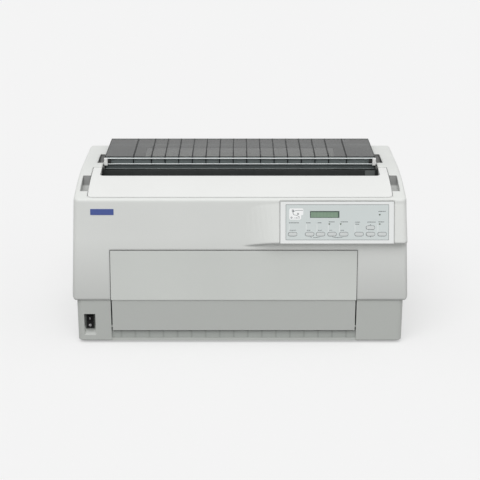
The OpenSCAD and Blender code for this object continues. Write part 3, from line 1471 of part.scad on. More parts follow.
module carriage_motor() {
  top = stay_z - stay_t;
  color([0.2, 0.2, 0.21])
  translate([pulley_x, belt_y, 0]) difference() {
    union() {
      translate([0, 0, top - motor_h]) cylinder(r = motor_r, h = motor_h - 4);
      translate([0, 0, top - 5]) linear_extrude(5)
        rounded(2 * motor_r, 2 * motor_r, 6);
      translate([0, 0, top - 1]) cylinder(r = 8.8, h = 3.2);
    }
    translate([0, 0, top - 20]) cylinder(r = 3 + run, h = 30);
    for (a = [45:90:315]) rotate(a) translate([motor_r * 1.12, 0, top - 6])
      cylinder(r = 2, h = 8);
  }
}

// Toothed belt pulley between two flanges, standing at place x
module pulley(x, bore) {
  teeth = 24;
  r = pulley_r - belt_t / 2 - 0.25;
  translate([x, belt_y, 0]) difference() {
    union() {
      translate([0, 0, belt_low - 0.4]) cylinder(r = r, h = belt_w + 0.8);
      for (z = [belt_low - 1.6, belt_high + 0.4])
        translate([0, 0, z]) cylinder(r = pulley_r + 2, h = 1.2);
    }
    for (i = [0:teeth - 1]) rotate(i * 360 / teeth)
      translate([r + 0.1, 0, belt_low - 0.3]) cylinder(r = 0.8, h = belt_w + 0.6,
        $fn = 16);
    if (bore > 0) translate([0, 0, belt_low - 3]) cylinder(r = bore, h = belt_w + 8);
  }
}

module motor_pulley() {
  color([0.78, 0.79, 0.8]) {
    pulley(pulley_x, 0);
    translate([pulley_x, belt_y, stay_z - stay_t - 18])
      cylinder(r = 3, h = belt_high - stay_z + stay_t + 22);
  }
}

module idler_pulley() {
  color([0.78, 0.79, 0.8]) pulley(-pulley_x, 3 + run);
}

module timing_belt() {
  color([0.06, 0.06, 0.06])
  translate([0, belt_y, belt_low]) linear_extrude(belt_w) difference() {
    pill(2 * (pulley_x + pulley_r) + belt_t, 2 * pulley_r + belt_t);
    pill(2 * (pulley_x + pulley_r) - belt_t, 2 * pulley_r - belt_t);
  }
}

// ---- platen and paper feed ----
module platen() {
  color([0.07, 0.07, 0.08]) {
    rod_x(platen_at, platen_r, -platen_len / 2, platen_len / 2);
    rod_x(platen_at, platen_shaft_r, -frame_x - frame_t - 6, gear_x + gear_w + 4);
  }
}

// Large feed gear with six lightening holes
module big_gear(at, phase, bore_r) {
  color([0.9, 0.9, 0.88])
  difference() {
    gear(at, big_teeth, phase, bore_r);
    for (a = [0:60:300])
      rod_x(at + (big_r * 0.6) * [cos(a), sin(a)], big_r * 0.19, gear_x - 1,
        gear_x + gear_w + 1);
  }
}

module platen_gear() big_gear(platen_at, 0, platen_shaft_r);
module feed_idler_gear() big_gear(idler_at, idler_phase, idler_stud_r + run);

module feed_pinion() {
  color([0.8, 0.75, 0.5]) {
    gear(pinion_at, pinion_teeth, pinion_phase, 0.5);
    rod_x(pinion_at, 3, frame_x - 20, gear_x + gear_w + 1);
  }
}

module feed_motor() {
  color([0.22, 0.22, 0.23])
  difference() {
    union() {
      rod_x(pinion_at, feed_motor_r, frame_x - 46, frame_x - 3);
      translate([frame_x - 3, pinion_at[0], pinion_at[1]]) rotate([90, 0, 90])
        linear_extrude(3) rounded(2 * feed_motor_r, 2 * feed_motor_r, 4);
    }
    rod_x(pinion_at, 3 + run, frame_x - 22, frame_x + 1);
  }
}

module tractor_shaft() {
  h = tractor_square;
  color([0.8, 0.81, 0.82]) {
    translate([-frame_x + 1, shaft_at[0] - h / 2, shaft_at[1] - h / 2])
      cube([2 * frame_x - 2, h, h]);
    rod_x(shaft_at, journal_r, -frame_x - frame_t - 4, -frame_x + 2);
    rod_x(shaft_at, journal_r, frame_x - 2, gear_x + gear_w + 2);
    gear(shaft_at, tractor_teeth, shaft_phase, journal_r - 0.5);
  }
}

// Loop round the two tractor axes, grown to radius r, as (Y, Z)
module tractor_loop(r) {
  for (p = [shaft_at, rod_at]) translate(p) circle(r);
  translate([shaft_at[0] - r, rod_at[1]]) square([2 * r, tractor_span]);
}

// Frame of a tractor at place x, with its cover hinge on the side s
module tractor_frame(x, s) {
  color([0.15, 0.16, 0.17])
  translate([x, 0, 0]) scale([s, 1, 1]) difference() {
    union() {
      for (c = [-cheek_x - cheek_t, cheek_x])
        along_x(c, c + cheek_t) tractor_loop(belt_out_r);
      // back web between the cheeks, behind the belt's inner run
      box([-cheek_x - 0.5, shaft_at[0] - 4, rod_at[1] + rod_r + 6],
        [cheek_x + 0.5, shaft_at[0] + belt_in_r - 1.5,
          shaft_at[1] - belt_in_r - 1]);
      // tube that rides on the support rod
      rod_x(rod_at, rod_r + 3, -cheek_x - 0.5, cheek_x + 0.5);
      // ear of the cover's hinge
      box([cheek_x + 0.5, tractor_hinge_y - 2.2, tractor_ear_z - tractor_ear_h],
        [cover_hinge_x + 3, tractor_hinge_y + 3, tractor_ear_z + tractor_ear_h]);
    }
    rod_x(rod_at, rod_r + run, -20, 20);
    rod_x(shaft_at, hub_r + run, -20, 20);
    translate([cover_hinge_x, tractor_hinge_y, tractor_ear_z - 20])
      cylinder(r = tractor_pin_r + run, h = 40);
  }
}

module left_tractor() tractor_frame(left_tractor_x, -1);
module right_tractor() tractor_frame(right_tractor_x, 1);

// Belt of pins round a tractor at place x
module pin_belt(x) {
  count = 2 * sprocket_pins;
  straight = sprocket_pins / 2;
  color([0.55, 0.57, 0.6])
  translate([x, 0, 0]) {
    along_x(-pin_belt_w / 2, pin_belt_w / 2) difference() {
      tractor_loop(belt_out_r);
      tractor_loop(belt_in_r);
    }
    // pins on the two straight runs, front and back
    for (i = [0:straight], side = [-1, 1])
      translate([0, shaft_at[0] + side * (belt_out_r - 0.3),
        rod_at[1] + i * pin_pitch]) rotate([-side * 90, 0, 0])
        cylinder(r1 = pin_r, r2 = pin_r * 0.65, h = pin_len);
    // pins round the two ends
    for (i = [1:straight - 1], e = [0, 1])
      let (a = e * 180 + i * 180 / straight, c = e == 0 ? shaft_at : rod_at)
      translate([0, c[0] + (belt_out_r - 0.3) * cos(a),
        c[1] + (belt_out_r - 0.3) * sin(a)]) rotate([a - 90, 0, 0])
        cylinder(r1 = pin_r, r2 = pin_r * 0.65, h = pin_len);
  }
}

module left_pin_belt() pin_belt(left_tractor_x);
module right_pin_belt() pin_belt(right_tractor_x);

// Sprocket inside a tractor's belt, driven by the square shaft
module sprocket(x) {
  reach = cheek_x + cheek_t - 0.4;
  h = tractor_square + 2 * run;
  color([0.88, 0.88, 0.85])
  translate([x, 0, 0]) difference() {
    union() {
      rod_x(shaft_at, belt_in_r - 0.3, -pin_belt_w / 2, pin_belt_w / 2);
      rod_x(shaft_at, hub_r, -reach, reach);
    }
    translate([-reach - 1, shaft_at[0] - h / 2, shaft_at[1] - h / 2])
      cube([2 * reach + 2, h, h]);
  }
}

module left_sprocket() sprocket(left_tractor_x);
module right_sprocket() sprocket(right_tractor_x);

// Hinged cover that holds the paper on the pins of a tractor at place x
module tractor_cover(x, s) {
  face = shaft_at[0] - belt_out_r - cover_gap;
  low = rod_at[1] - 12;
  high = shaft_at[1] + 12;
  t = 2.4;
  arm = tractor_ear_h + 0.3;
  color([0.2, 0.21, 0.22])
  translate([x, 0, 0]) scale([s, 1, 1]) difference() {
    union() {
      box([-cheek_x - cheek_t - 2, face - t, low], [cover_hinge_x + 2.5, face, high]);
      // hinge arms above and below the ear, and the pin through it
      for (z = [tractor_ear_z - arm - 5, tractor_ear_z + arm])
        box([cover_hinge_x - 2.5, face - 1, z],
          [cover_hinge_x + 2.5, tractor_hinge_y + 2.5, z + 5]);
      translate([cover_hinge_x, tractor_hinge_y, tractor_ear_z - arm - 4])
        cylinder(r = tractor_pin_r, h = 2 * arm + 8);
      // finger tab
      box([-cheek_x - cheek_t - 5, face - t, tractor_ear_z - 8],
        [-cheek_x - cheek_t - 1, face - 0.4, tractor_ear_z + 8]);
    }
    // slot that the pins run in
    translate([0, face + 1, (low + high) / 2]) rotate([90, 0, 0])
      linear_extrude(t + 2) rotate(90) pill(high - low - 8, 2 * pin_r + 3.2);
    // sight windows
    for (z = [low + 14, high - 14])
      translate([-cheek_x - 0.6, face + 1, z]) rotate([90, 0, 0])
        cylinder(r = 1.5, h = t + 2);
  }
}

module left_tractor_cover() tractor_cover(left_tractor_x, -1);
module right_tractor_cover() tractor_cover(right_tractor_x, 1);

// Lever that clamps a tractor to its support rod
module lock_lever(x, s) {
  lever_x = cheek_x + cheek_t + 0.4;
  lever_len = rod_r + 20;
  color([0.25, 0.45, 0.65])
  translate([x, 0, 0]) scale([s, 1, 1]) along_x(lever_x, lever_x + 4) difference() {
    union() {
      translate(rod_at) circle(rod_r + 3.5);
      translate(rod_at) rotate(-110) {
        translate([0, -3]) square([lever_len, 6]);
        translate([lever_len, 0]) circle(3.6);
      }
    }
    translate(rod_at) circle(rod_r + run);
  }
}

module left_lock_lever() lock_lever(left_tractor_x, -1);
module right_lock_lever() lock_lever(right_tractor_x, 1);

// ---- electrics on the chassis plate ----
module power_supply_and_board() {
  sx = -frame_x + 12;
  sy = plate_back_y - 4 - supply_d;
  bx = frame_x - 14 - board_w;
  by = plate_back_y - 2 - board_d;
  bz = plate_z + 6;
  color([0.7, 0.71, 0.72]) {
    // folded steel cage of the power supply, with side vents
    difference() {
      box([sx, sy, plate_z], [sx + supply_w, sy + supply_d, plate_z + supply_h]);
      for (i = [0:9]) box([sx + 12 + i * 14, sy - 1, plate_z + 12],
        [sx + 17 + i * 14, sy + 5, plate_z + supply_h - 12]);
    }
    // board on its stand-offs, with the largest parts
    box([bx, by, bz], [bx + board_w, by + board_d, bz + 1.6]);
    for (x = [bx + 10, bx + board_w - 10], y = [by + 10, by + board_d - 10])
      translate([x, y, plate_z]) cylinder(r = 3, h = bz - plate_z + 1);
    box([bx + 40, by + 30, bz + 1], [bx + 70, by + 60, bz + 5]);
    box([bx + 90, by + 20, bz + 1], [bx + 120, by + 80, bz + 4]);
    box([bx + board_w - 70, by + 20, bz + 1], [bx + board_w - 40, by + 90, bz + 30]);
    for (i = [0:3]) translate([bx + 160 + i * 26, by + 26, bz + 1])
      cylinder(r = 9, h = 26);
  }
}

base_pan();
upper_housing();
rear_panel();
rubber_feet();
top_lid();
smoke_cover();
wire_brackets();
guide_wires();
front_flap();
front_paper_guide();
paper_exit_guide();
control_bezel();
panel_overlay();
lcd_module();
panel_board();
front_rear_button();
load_button();
eject_button();
tear_off_button();
pitch_button();
form_feed_button();
micro_feed_up_button();
micro_feed_down_button();
pause_button();
power_rocker();
power_switch_body();
ac_inlet();
interface_ports();
fan_frame();
fan_rotor();
chassis_plate();
left_side_frame();
right_side_frame();
cross_stay();
guide_shafts();
carriage();
print_head();
ribbon_cartridge();
ribbon_knob();
carriage_motor();
motor_pulley();
idler_pulley();
timing_belt();
platen();
platen_gear();
feed_motor();
feed_pinion();
feed_idler_gear();
tractor_shaft();
left_tractor();
right_tractor();
left_pin_belt();
right_pin_belt();
left_sprocket();
right_sprocket();
left_tractor_cover();
right_tractor_cover();
left_lock_lever();
right_lock_lever();
power_supply_and_board();
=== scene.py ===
"""Looks of the wide dot matrix printer: camera, light, materials and the small trim.

The printer's sizes are in millimetres and agree with the part's source. Piece.done turns a
finished piece into metres.
"""
import math

import bmesh
import bpy
from mathutils import Matrix, Vector


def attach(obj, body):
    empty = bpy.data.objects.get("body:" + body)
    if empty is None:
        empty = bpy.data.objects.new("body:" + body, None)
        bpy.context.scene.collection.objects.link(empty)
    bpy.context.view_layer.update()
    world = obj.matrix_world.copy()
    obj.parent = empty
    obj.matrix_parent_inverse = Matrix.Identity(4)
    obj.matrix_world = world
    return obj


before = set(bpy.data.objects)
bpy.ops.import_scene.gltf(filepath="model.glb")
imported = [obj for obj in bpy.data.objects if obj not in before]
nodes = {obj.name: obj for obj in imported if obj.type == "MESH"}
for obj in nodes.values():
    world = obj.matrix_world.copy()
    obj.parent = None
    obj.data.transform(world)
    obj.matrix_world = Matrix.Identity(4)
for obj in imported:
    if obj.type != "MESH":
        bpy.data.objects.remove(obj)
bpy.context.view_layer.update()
scene = bpy.context.scene
MM = 0.001

# ---------------------------------------------------------------- sizes of the case
CASE_W = 700.0
CASE_D = 382.0
CASE_H = 345.0            # flat rear deck above the table
SPLIT_Z = 100.0           # seam between the upper case and the base
BASE_INSET = 8.5
FRONT_LEAN = 12.0
TOP_DROP = 31.0           # from the deck to the front's top edge
ARC_Y = 20.0              # where the flat deck turns into the curved top
EDGE_R = 7.0
BASE_STEP = 2.3
BASE_LEAN = 8.0
SEAM = 0.7
FOOT_H = 5.0
LID_W = 628.0
LID_STRIP = 9.0
LID_REAR_Y = -17.0
SCOOP_R = 60.0
SCOOP_DEPTH = 12.0
SCOOP_Y = -113.0
SCOOP_W = 16.4
NOTCH_LEN = 79.0
NOTCH_W = 13.0
NOTCH_Y = 19.0
DECK_RIM = 4.0
FLAP_LEFT = -269.5
FLAP_RIGHT = 243.0
FLAP_TOP = 139.0          # from the deck down to the flap's top edge
FLAP_LOWER_INSET = 1.6
GUIDE_RIB_PITCH = 29.7
SWITCH_X = 26.0
SWITCH_Z = 48.0
RECESS_W = 23.5
RECESS_DEPTH = 8.0
ROCKER_H = 30.0
ROCKER_TILT = 7.0
INLET_X = -250.0
INLET_Z = 46.0

# ---------------------------------------------------------------- sizes of the rear cover
COVER_W = 585.0
COVER_T = 2.5
COVER_RISE = 15.5
COVER_FRONT_Y = 8.5
COVER_HINGE_Y = 182.0
COVER_ROLL_R = 4.0
LIP_DROP = 11.0
RIB_PITCH = 29.5
OUTER_RIB_X = 230.5
WIRE_R = 1.5
WIRE_GAP = 12.2           # from the upper wire down to the lower one

# ---------------------------------------------------------------- sizes of the control panel
PANEL_BULGE = 9.0
PANEL_LOW = 119.0         # from the deck down to the panel's foot
OVERLAY_LEFT = 93.8
OVERLAY_RIGHT = 306.0
OVERLAY_LOW = 6.7         # this and the next heights are above the panel's foot
OVERLAY_TOP = 78.0
BUTTON_ROW = 18.8
MICRO_UP = 31.9
LAMP_ROW = 39.0
LAMP_TOP = 57.5
LCD_HIGH = 58.0
LCD_LEFT = 144.0
LCD_W = 60.0
LCD_H = 13.6
BUTTON_LEN = 17.0
BUTTON_H = 7.0
BUTTON_X = (108.1, 143.1, 165.5, 189.1, 213.1, 244.8, 268.1, 291.9)
MICRO_UP_X = 267.9
LAMP_X = (183.5, 206.9, 287.0)

# ---------------------------------------------------------------- worked out from those
FRONT_LOW_Y = -CASE_D / 2 + PANEL_BULGE
FRONT_TOP_Y = FRONT_LOW_Y + FRONT_LEAN
FRONT_TOP_Z = CASE_H - TOP_DROP
ARC_R = ((ARC_Y - FRONT_TOP_Y) ** 2 + TOP_DROP ** 2) / (2 * TOP_DROP)
BASE_HALF = CASE_W / 2 - BASE_INSET
BAY_HALF = LID_W / 2 + SEAM
LID_FRONT_Y = FRONT_TOP_Y + LID_STRIP
FLAP_TOP_Z = CASE_H - FLAP_TOP
NOTCH_X = COVER_W / 2 + DECK_RIM
LIP_LOW_Z = CASE_H - LIP_DROP
SHELF_Z = LIP_LOW_Z - 2
EXIT_WALL_Y = COVER_FRONT_Y - 5.5
WIRES_Z = CASE_H + COVER_RISE - WIRE_R - 1.2 - WIRE_GAP / 2
PANEL_FOOT_Z = CASE_H - PANEL_LOW
FACE_TOP_Z = FRONT_TOP_Z - 0.8 * EDGE_R


def top_z(y):
    """Height of the curved top at a depth y in front of the deck."""
    return CASE_H - ARC_R + math.sqrt(ARC_R ** 2 - (ARC_Y - y) ** 2)


def front_y(z):
    """Depth of the upper case's leaning front at a height z."""
    return FRONT_LOW_Y + FRONT_LEAN * (z - SPLIT_Z) / (FRONT_TOP_Z - SPLIT_Z)


def base_y(z):
    """Depth of the base's leaning front at a height z."""
    return FRONT_LOW_Y + BASE_STEP + BASE_LEAN * (SPLIT_Z - z) / (SPLIT_Z - FOOT_H)


SCOOP_AXIS_Z = top_z(SCOOP_Y) - SCOOP_DEPTH + SCOOP_R

# ---------------------------------------------------------------- reach of the places with painted shade and painted light
MARGIN = 0.2              # how far a shade reaches past the edge that it belongs to
# painted shade on the upper case, darker towards its foot between these heights
FOOT_SHADE_LOW = SPLIT_Z - 2
FOOT_SHADE_HIGH = 232.0
FRONT_ZONE_Y = -160.0     # the flap's seam lies in front of this
TOP_ZONE_Z = 300.0        # the lid's seam lies above this
FRONT_SEAM_END = 306.0    # half the straight length of the lid's front seam
SCOOP_SHADE_Y = -120.0    # the painted shade in the finger scoops darkens from here on
SCOOP_SHADE_LEN = 50.0
RECESS_SHADE_Y = (-174.2, -160.0)
RECESS_SHADE_Z = (37.5, 68.0)
GUIDE_RIB_SHARE = 0.06    # half a rib's flank with painted shade, as a share of the pitch
COVER_RIB_HALF = 1.15
COVER_RIBS_END = 200.0    # the ribs with the even pitch lie within this
RIM_Y = COVER_HINGE_Y - COVER_ROLL_R - 0.5
RIM_X = COVER_W / 2 - 1.9
LIP_Y = COVER_FRONT_Y + COVER_T + MARGIN
# top of the painted highlight along the lip's lower edge
LIP_HIGHLIGHT_Z = LIP_LOW_Z + 1.6
SHEET_HALF_W = 205.0
SHEET_HALF_D = 37.0
SHEET_Y = 51.0
PAINTED_BAND_Y = (14.0, 92.0)     # painted paler band of the cover, standing in for the lit sheet seen through it


# ---------------------------------------------------------------- colour and node helpers
def lin(r, g, b):
    """A colour written as sRGB 0-255, as linear values."""
    def one(c):
        c /= 255.0
        return c / 12.92 if c <= 0.04045 else ((c + 0.055) / 1.055) ** 2.4
    return (one(r), one(g), one(b), 1.0)


def scaled(color, k):
    return (color[0] * k, color[1] * k, color[2] * k, 1.0)


class Value:
    """A number worked out by shader nodes, with Python's own operators. A comparison gives a
    mask of ones and zeros, which & and | combine."""

    def __init__(self, shader, socket):
        self.shader = shader
        self.socket = socket

    def __add__(self, other):
        return self.shader.math("ADD", self, other)

    def __sub__(self, other):
        return self.shader.math("SUBTRACT", self, other)

    def __rsub__(self, other):
        return self.shader.math("SUBTRACT", other, self)

    def __mul__(self, other):
        return self.shader.math("MULTIPLY", self, other)

    def __truediv__(self, other):
        return self.shader.math("DIVIDE", self, other)

    def __pow__(self, other):
        return self.shader.math("POWER", self, other)

    def __abs__(self):
        return self.shader.math("ABSOLUTE", self)

    def __lt__(self, other):
        return self.shader.math("LESS_THAN", self, other)

    def __gt__(self, other):
        return self.shader.math("GREATER_THAN", self, other)

    def __and__(self, other):
        return self.shader.math("MULTIPLY", self, other)

    def __or__(self, other):
        return self.shader.math("MAXIMUM", self, other)

    def fract(self):
        return self.shader.math("FRACT", self)


class Shader:
    """A node material built step by step."""

    def __init__(self, name):
        self.mat = bpy.data.materials.new(name)
        self.mat.use_nodes = True
        self.tree = self.mat.node_tree
        self.tree.nodes.clear()
        self.out = self.add("ShaderNodeOutputMaterial")
        self.bsdf = self.add("ShaderNodeBsdfPrincipled")
        self.link(self.bsdf.outputs[0], self.out.inputs[0])
        self.coord = self.add("ShaderNodeTexCoord").outputs["Object"]

    def add(self, kind, **values):
        node = self.tree.nodes.new(kind)
        for key, value in values.items():
            if hasattr(node, key):
                setattr(node, key, value)
            else:
                node.inputs[key.replace("_", " ")].default_value = value
        return node

    def link(self, source, socket):
        """Feeds a socket from an output or a Value, or gives it a plain number or colour."""
        if isinstance(source, Value):
            source = source.socket
        if isinstance(source, (int, float, tuple)):
            socket.default_value = source
        else:
            self.tree.links.new(source, socket)

    def feed(self, name, source):
        """Feeds an input of the surface."""
        self.link(source, self.bsdf.inputs[name])

    def set(self, **values):
        for key, value in values.items():
            self.bsdf.inputs[key.replace("_", " ")].default_value = value

    def noise(self, scale, detail=2.0, rough=0.5, stretch=None):
        node = self.add("ShaderNodeTexNoise", Scale=scale, Detail=detail, Roughness=rough)
        place = self.coord
        if stretch:
            mapping = self.add("ShaderNodeMapping", Scale=stretch)
            self.link(place, mapping.inputs[0])
            place = mapping.outputs[0]
        self.link(place, node.inputs["Vector"])
        return node.outputs["Fac"]

    def ramp(self, fac, stops):
        node = self.add("ShaderNodeValToRGB")
        for element, (at, color) in zip(node.color_ramp.elements, stops, strict=True):
            element.position = at
            element.color = color
        self.link(fac, node.inputs[0])
        return node.outputs[0]

    def span(self, fac, low, high):
        """Spreads the middle of a noise over the range from low to high."""
        node = self.add("ShaderNodeMapRange", From_Min=0.3, From_Max=0.7, To_Min=low,
                        To_Max=high)
        self.link(fac, node.inputs["Value"])
        return node.outputs[0]

    def mix(self, fac, a, b):
        node = self.add("ShaderNodeMix", data_type="RGBA")
        for source, slot in ((fac, 0), (a, 6), (b, 7)):
            self.link(source, node.inputs[slot])
        return node.outputs[2]

    def darken(self, base, mask, color, k):
        """Base, with the colour times k where the mask is 1."""
        return self.mix(mask, base, scaled(color, k))

    def math(self, operation, a, b=0.0):
        node = self.add("ShaderNodeMath", operation=operation)
        self.link(a, node.inputs[0])
        self.link(b, node.inputs[1])
        return Value(self, node.outputs[0])

    def places(self):
        """X, Y and Z in millimetres."""
        split = self.add("ShaderNodeSeparateXYZ")
        self.link(self.coord, split.inputs[0])
        return [self.math("MULTIPLY", split.outputs[i], 1 / MM) for i in range(3)]

    def bump(self, height, strength, distance, before=None):
        node = self.add("ShaderNodeBump", Strength=strength, Distance=distance)
        self.link(height, node.inputs["Height"])
        if before is not None:
            self.link(before, node.inputs["Normal"])
        return node.outputs[0]


def within(value, low, high):
    """Mask of where a value lies between two limits."""
    return (value > low) & (value < high)


def near(value, place, reach=MARGIN):
    return within(value, place - reach, place + reach)


# ---------------------------------------------------------------- plastics
def plastic(name, color, rough=0.45, grain=1.0, tint=0.03, scale=1500.0, shade=None,
            gloss=0.5, soft=0.0):
    """Moulded plastic: spark-eroded grain, faint flow shades and slightly uneven gloss."""
    s = Shader(name)
    fine = s.noise(scale, 2.0, 0.6)
    coarse = s.noise(scale / 3.2, 2.0, 0.55)
    flow = s.ramp(s.noise(5.0, 3.0), [(0.35, scaled(color, 1 - tint)),
                                      (0.65, scaled(color, 1 + tint))])
    speck = s.ramp(fine, [(0.3, scaled(color, 0.965)), (0.7, scaled(color, 1.035))])
    mixed = s.mix(0.5, flow, speck)
    s.feed("Base Color", shade(s, mixed, color) if shade else mixed)
    s.feed("Roughness", s.span(s.noise(22.0, 4.0), rough - 0.05, rough + 0.06))
    round_off = s.add("ShaderNodeBevel", samples=6, Radius=soft).outputs[0] if soft else None
    low = s.bump(coarse, 0.12 * grain, 0.00025, round_off)
    s.feed("Normal", s.bump(fine, 0.22 * grain, 0.00012, low))
    s.set(IOR=1.49, Specular_IOR_Level=gloss)
    return s.mat


def case_shade(s, base, color):
    """Painted shade: darker towards the foot, in the scoops and notches, and in the seams."""
    x, y, z = s.places()
    side = abs(x)
    # painted shade, darker towards the foot
    depth = (FOOT_SHADE_HIGH - z) / (FOOT_SHADE_HIGH - FOOT_SHADE_LOW)
    foot = within(z, FOOT_SHADE_LOW, FOOT_SHADE_HIGH) * depth
    base = s.darken(base, foot, color, 0.76)

    # painted shade in the finger scoops, darkest towards their rear
    reach = ((y - SCOOP_Y) ** 2 + (z - SCOOP_AXIS_Z) ** 2) ** 0.5
    scoop = near(side, BAY_HALF + SCOOP_W / 2, SCOOP_W / 2 + 0.1) & (reach < SCOOP_R + 0.4)
    scoop_painted_shade = s.ramp((y - SCOOP_SHADE_Y) / SCOOP_SHADE_LEN,
                  [(0.56, scaled(color, 0.62)), (0.66, scaled(color, 0.26))])
    base = s.mix(scoop, base, scoop_painted_shade)

    # painted shade in the notches beside the rear cover
    notch = near(side, NOTCH_X + NOTCH_W / 2, NOTCH_W / 2 + 0.1) & (z < CASE_H - MARGIN)
    notch = notch & near(y, NOTCH_Y + NOTCH_LEN / 2, NOTCH_LEN / 2 + MARGIN)
    base = s.darken(base, notch, color, 0.15)

    # painted shade in the seams round the flap and the lid
    left = FLAP_LEFT - SEAM
    right = FLAP_RIGHT + SEAM
    jambs = (near(x, left) | near(x, right)) & (z < FLAP_TOP_Z + 1)
    head = near(z, FLAP_TOP_Z + SEAM) & within(x, left - MARGIN, right + MARGIN)
    flap_seam = (jambs | head) & (y < FRONT_ZONE_Y)
    sides = near(side, BAY_HALF) & within(y, LID_FRONT_Y - 1, LID_REAR_Y + 1)
    front = near(y, LID_FRONT_Y - SEAM) & (side < FRONT_SEAM_END)
    lid_seam = (sides | front) & (z > TOP_ZONE_Z)
    return s.darken(base, flap_seam | lid_seam, color, 0.12)


def flap_shade(s, base, color):
    """Painted shade: darker below the crease, and dark edges in the seam."""
    x, _, z = s.places()
    # painted shade below the crease
    base = s.darken(base, z < SPLIT_Z - FLAP_LOWER_INSET, color, 0.83)
    # painted shade on the flap's edges in the seam
    ends = (x < FLAP_LEFT + MARGIN) | (x > FLAP_RIGHT - MARGIN)
    rim = (ends & (z > SPLIT_Z)) | (z > FLAP_TOP_Z - MARGIN)
    return s.darken(base, rim, color, 0.2)


def base_shade(s, base, color):
    """Shade on the walls of the switch recess."""
    x, y, z = s.places()
    walls = near(x, SWITCH_X - BASE_HALF, RECESS_W / 2 + 1.25)
    walls = walls & within(z, *RECESS_SHADE_Z) & within(y, *RECESS_SHADE_Y)
    return s.darken(base, walls, color, 0.42)


def rib_shade(s, base, color):
    """Painted shade on the flanks of the paper guide's ribs."""
    x = s.places()[0]
    # painted shade on each rib's flanks
    turn = ((x - (FLAP_LEFT + FLAP_RIGHT) / 2) / GUIDE_RIB_PITCH + 0.5).fract()
    return s.darken(base, abs(turn - 0.5) < GUIDE_RIB_SHARE, color, 0.86)


def smoked(name):
    """Tinted see-through plastic with dark ribs and rim, a paler lip and faint wiping marks,
    with a painted paler band standing in for the lit sheet seen through it and a painted
    highlight along the lip's lower edge.
    """
    s = Shader(name)
    wipe = s.noise(30.0, 4.0, 0.6, (1.0, 12.0, 1.0))
    x, y, z = s.places()
    side = abs(x)
    lip = y < LIP_Y
    skirt = lip & (z < CASE_H)
    comb = abs((side / RIB_PITCH).fract() - 0.5) < COVER_RIB_HALF / RIB_PITCH
    rib = (comb & (side < COVER_RIBS_END)) | near(side, OUTER_RIB_X, 1.1)
    rib = rib & (1.0 - skirt)
    rim = (y > RIM_Y) | (side > RIM_X)

    tint = s.ramp(s.noise(6.0, 2.0), [(0.3, lin(92, 97, 95)), (0.7, lin(102, 106, 103))])
    # painted light: a paler band where the lit sheet would show through
    painted_sheet_band = (side < SHEET_HALF_W) & within(y, *PAINTED_BAND_Y)
    # painted highlight along the lip's lower edge
    lip_highlight = lip & (z < LIP_HIGHLIGHT_Z)
    for mask, color in ((painted_sheet_band, lin(158, 161, 158)), (lip, lin(160, 169, 169)),
                        (skirt, lin(134, 142, 142)), (lip_highlight, lin(190, 196, 196)),
                        (rim, lin(42, 46, 45)), (rib, lin(40, 43, 43))):
        tint = s.mix(mask, tint, color)
    s.feed("Base Color", tint)
    solid = rib | rim * 0.8
    s.feed("Transmission Weight", (0.9 - lip * 0.35) * (1.0 - solid))
    s.feed("Specular IOR Level", 0.5 - solid * 0.45)
    s.feed("Roughness", s.span(wipe, 0.06, 0.14))
    s.feed("Normal", s.bump(wipe, 0.03, 0.0002))
    s.set(IOR=1.2)
    return s.mat


# ---------------------------------------------------------------- metal, rubber, glass, boards
def metal(name, color, rough=0.3, brushed=(1.0, 1.0, 60.0), bumps=0.25, spangle=0.0):
    """Metal with drawn or ground marks along the stretched axis."""
    s = Shader(name)
    marks = s.noise(900.0, 3.0, 0.6, brushed)
    base = s.ramp(marks, [(0.25, scaled(color, 0.86)), (0.75, scaled(color, 1.08))])
    worn = s.ramp(s.noise(14.0, 3.0), [(0.3, scaled(color, 0.9)), (0.7, scaled(color, 1.04))])
    mixed = s.mix(0.5, base, worn)
    if spangle > 0:
        cells = s.add("ShaderNodeTexVoronoi", Scale=120.0)
        s.link(s.coord, cells.inputs["Vector"])
        flake = s.ramp(cells.outputs["Color"], [(0.2, scaled(color, 0.88)),
                                                (0.8, scaled(color, 1.06))])
        mixed = s.mix(spangle, mixed, flake)
    s.feed("Base Color", mixed)
    s.feed("Roughness", s.span(marks, rough - 0.08, rough + 0.1))
    s.feed("Normal", s.bump(marks, bumps, 0.00006))
    s.set(Metallic=1.0)
    return s.mat


def rubber(name, color, rough=0.75, rings=0.0):
    """Rubber with a dusty bloom; rings adds the ground lathe marks of a roller."""
    s = Shader(name)
    dust = s.noise(60.0, 4.0)
    s.feed("Base Color", s.ramp(dust, [(0.35, color), (0.75, scaled(color, 1.7))]))
    s.feed("Roughness", s.span(dust, rough - 0.1, rough + 0.1))
    normal = s.bump(s.noise(2200.0, 2.0), 0.3, 0.0001)
    if rings > 0:
        wave = s.add("ShaderNodeTexWave", Scale=420.0, Distortion=0.4, bands_direction="X")
        s.link(s.coord, wave.inputs["Vector"])
        normal = s.bump(wave.outputs["Fac"], rings, 0.00005, normal)
    s.feed("Normal", normal)
    return s.mat


def display(name):
    """Reflective green display glass, with faint rows of character cells."""
    s = Shader(name)
    cells = s.add("ShaderNodeTexWave", Scale=44.0, Distortion=0.0, bands_direction="X")
    s.link(s.coord, cells.inputs["Vector"])
    base = s.ramp(cells.outputs["Fac"], [(0.05, lin(106, 134, 111)), (0.2, lin(118, 146, 122))])
    cloud = s.ramp(s.noise(40.0, 3.0), [(0.3, lin(110, 138, 114)), (0.7, lin(125, 152, 128))])
    s.feed("Base Color", s.mix(0.55, base, cloud))
    s.feed("Roughness", s.span(s.noise(25.0), 0.1, 0.18))
    s.set(Coat_Weight=0.6, IOR=1.5)
    return s.mat


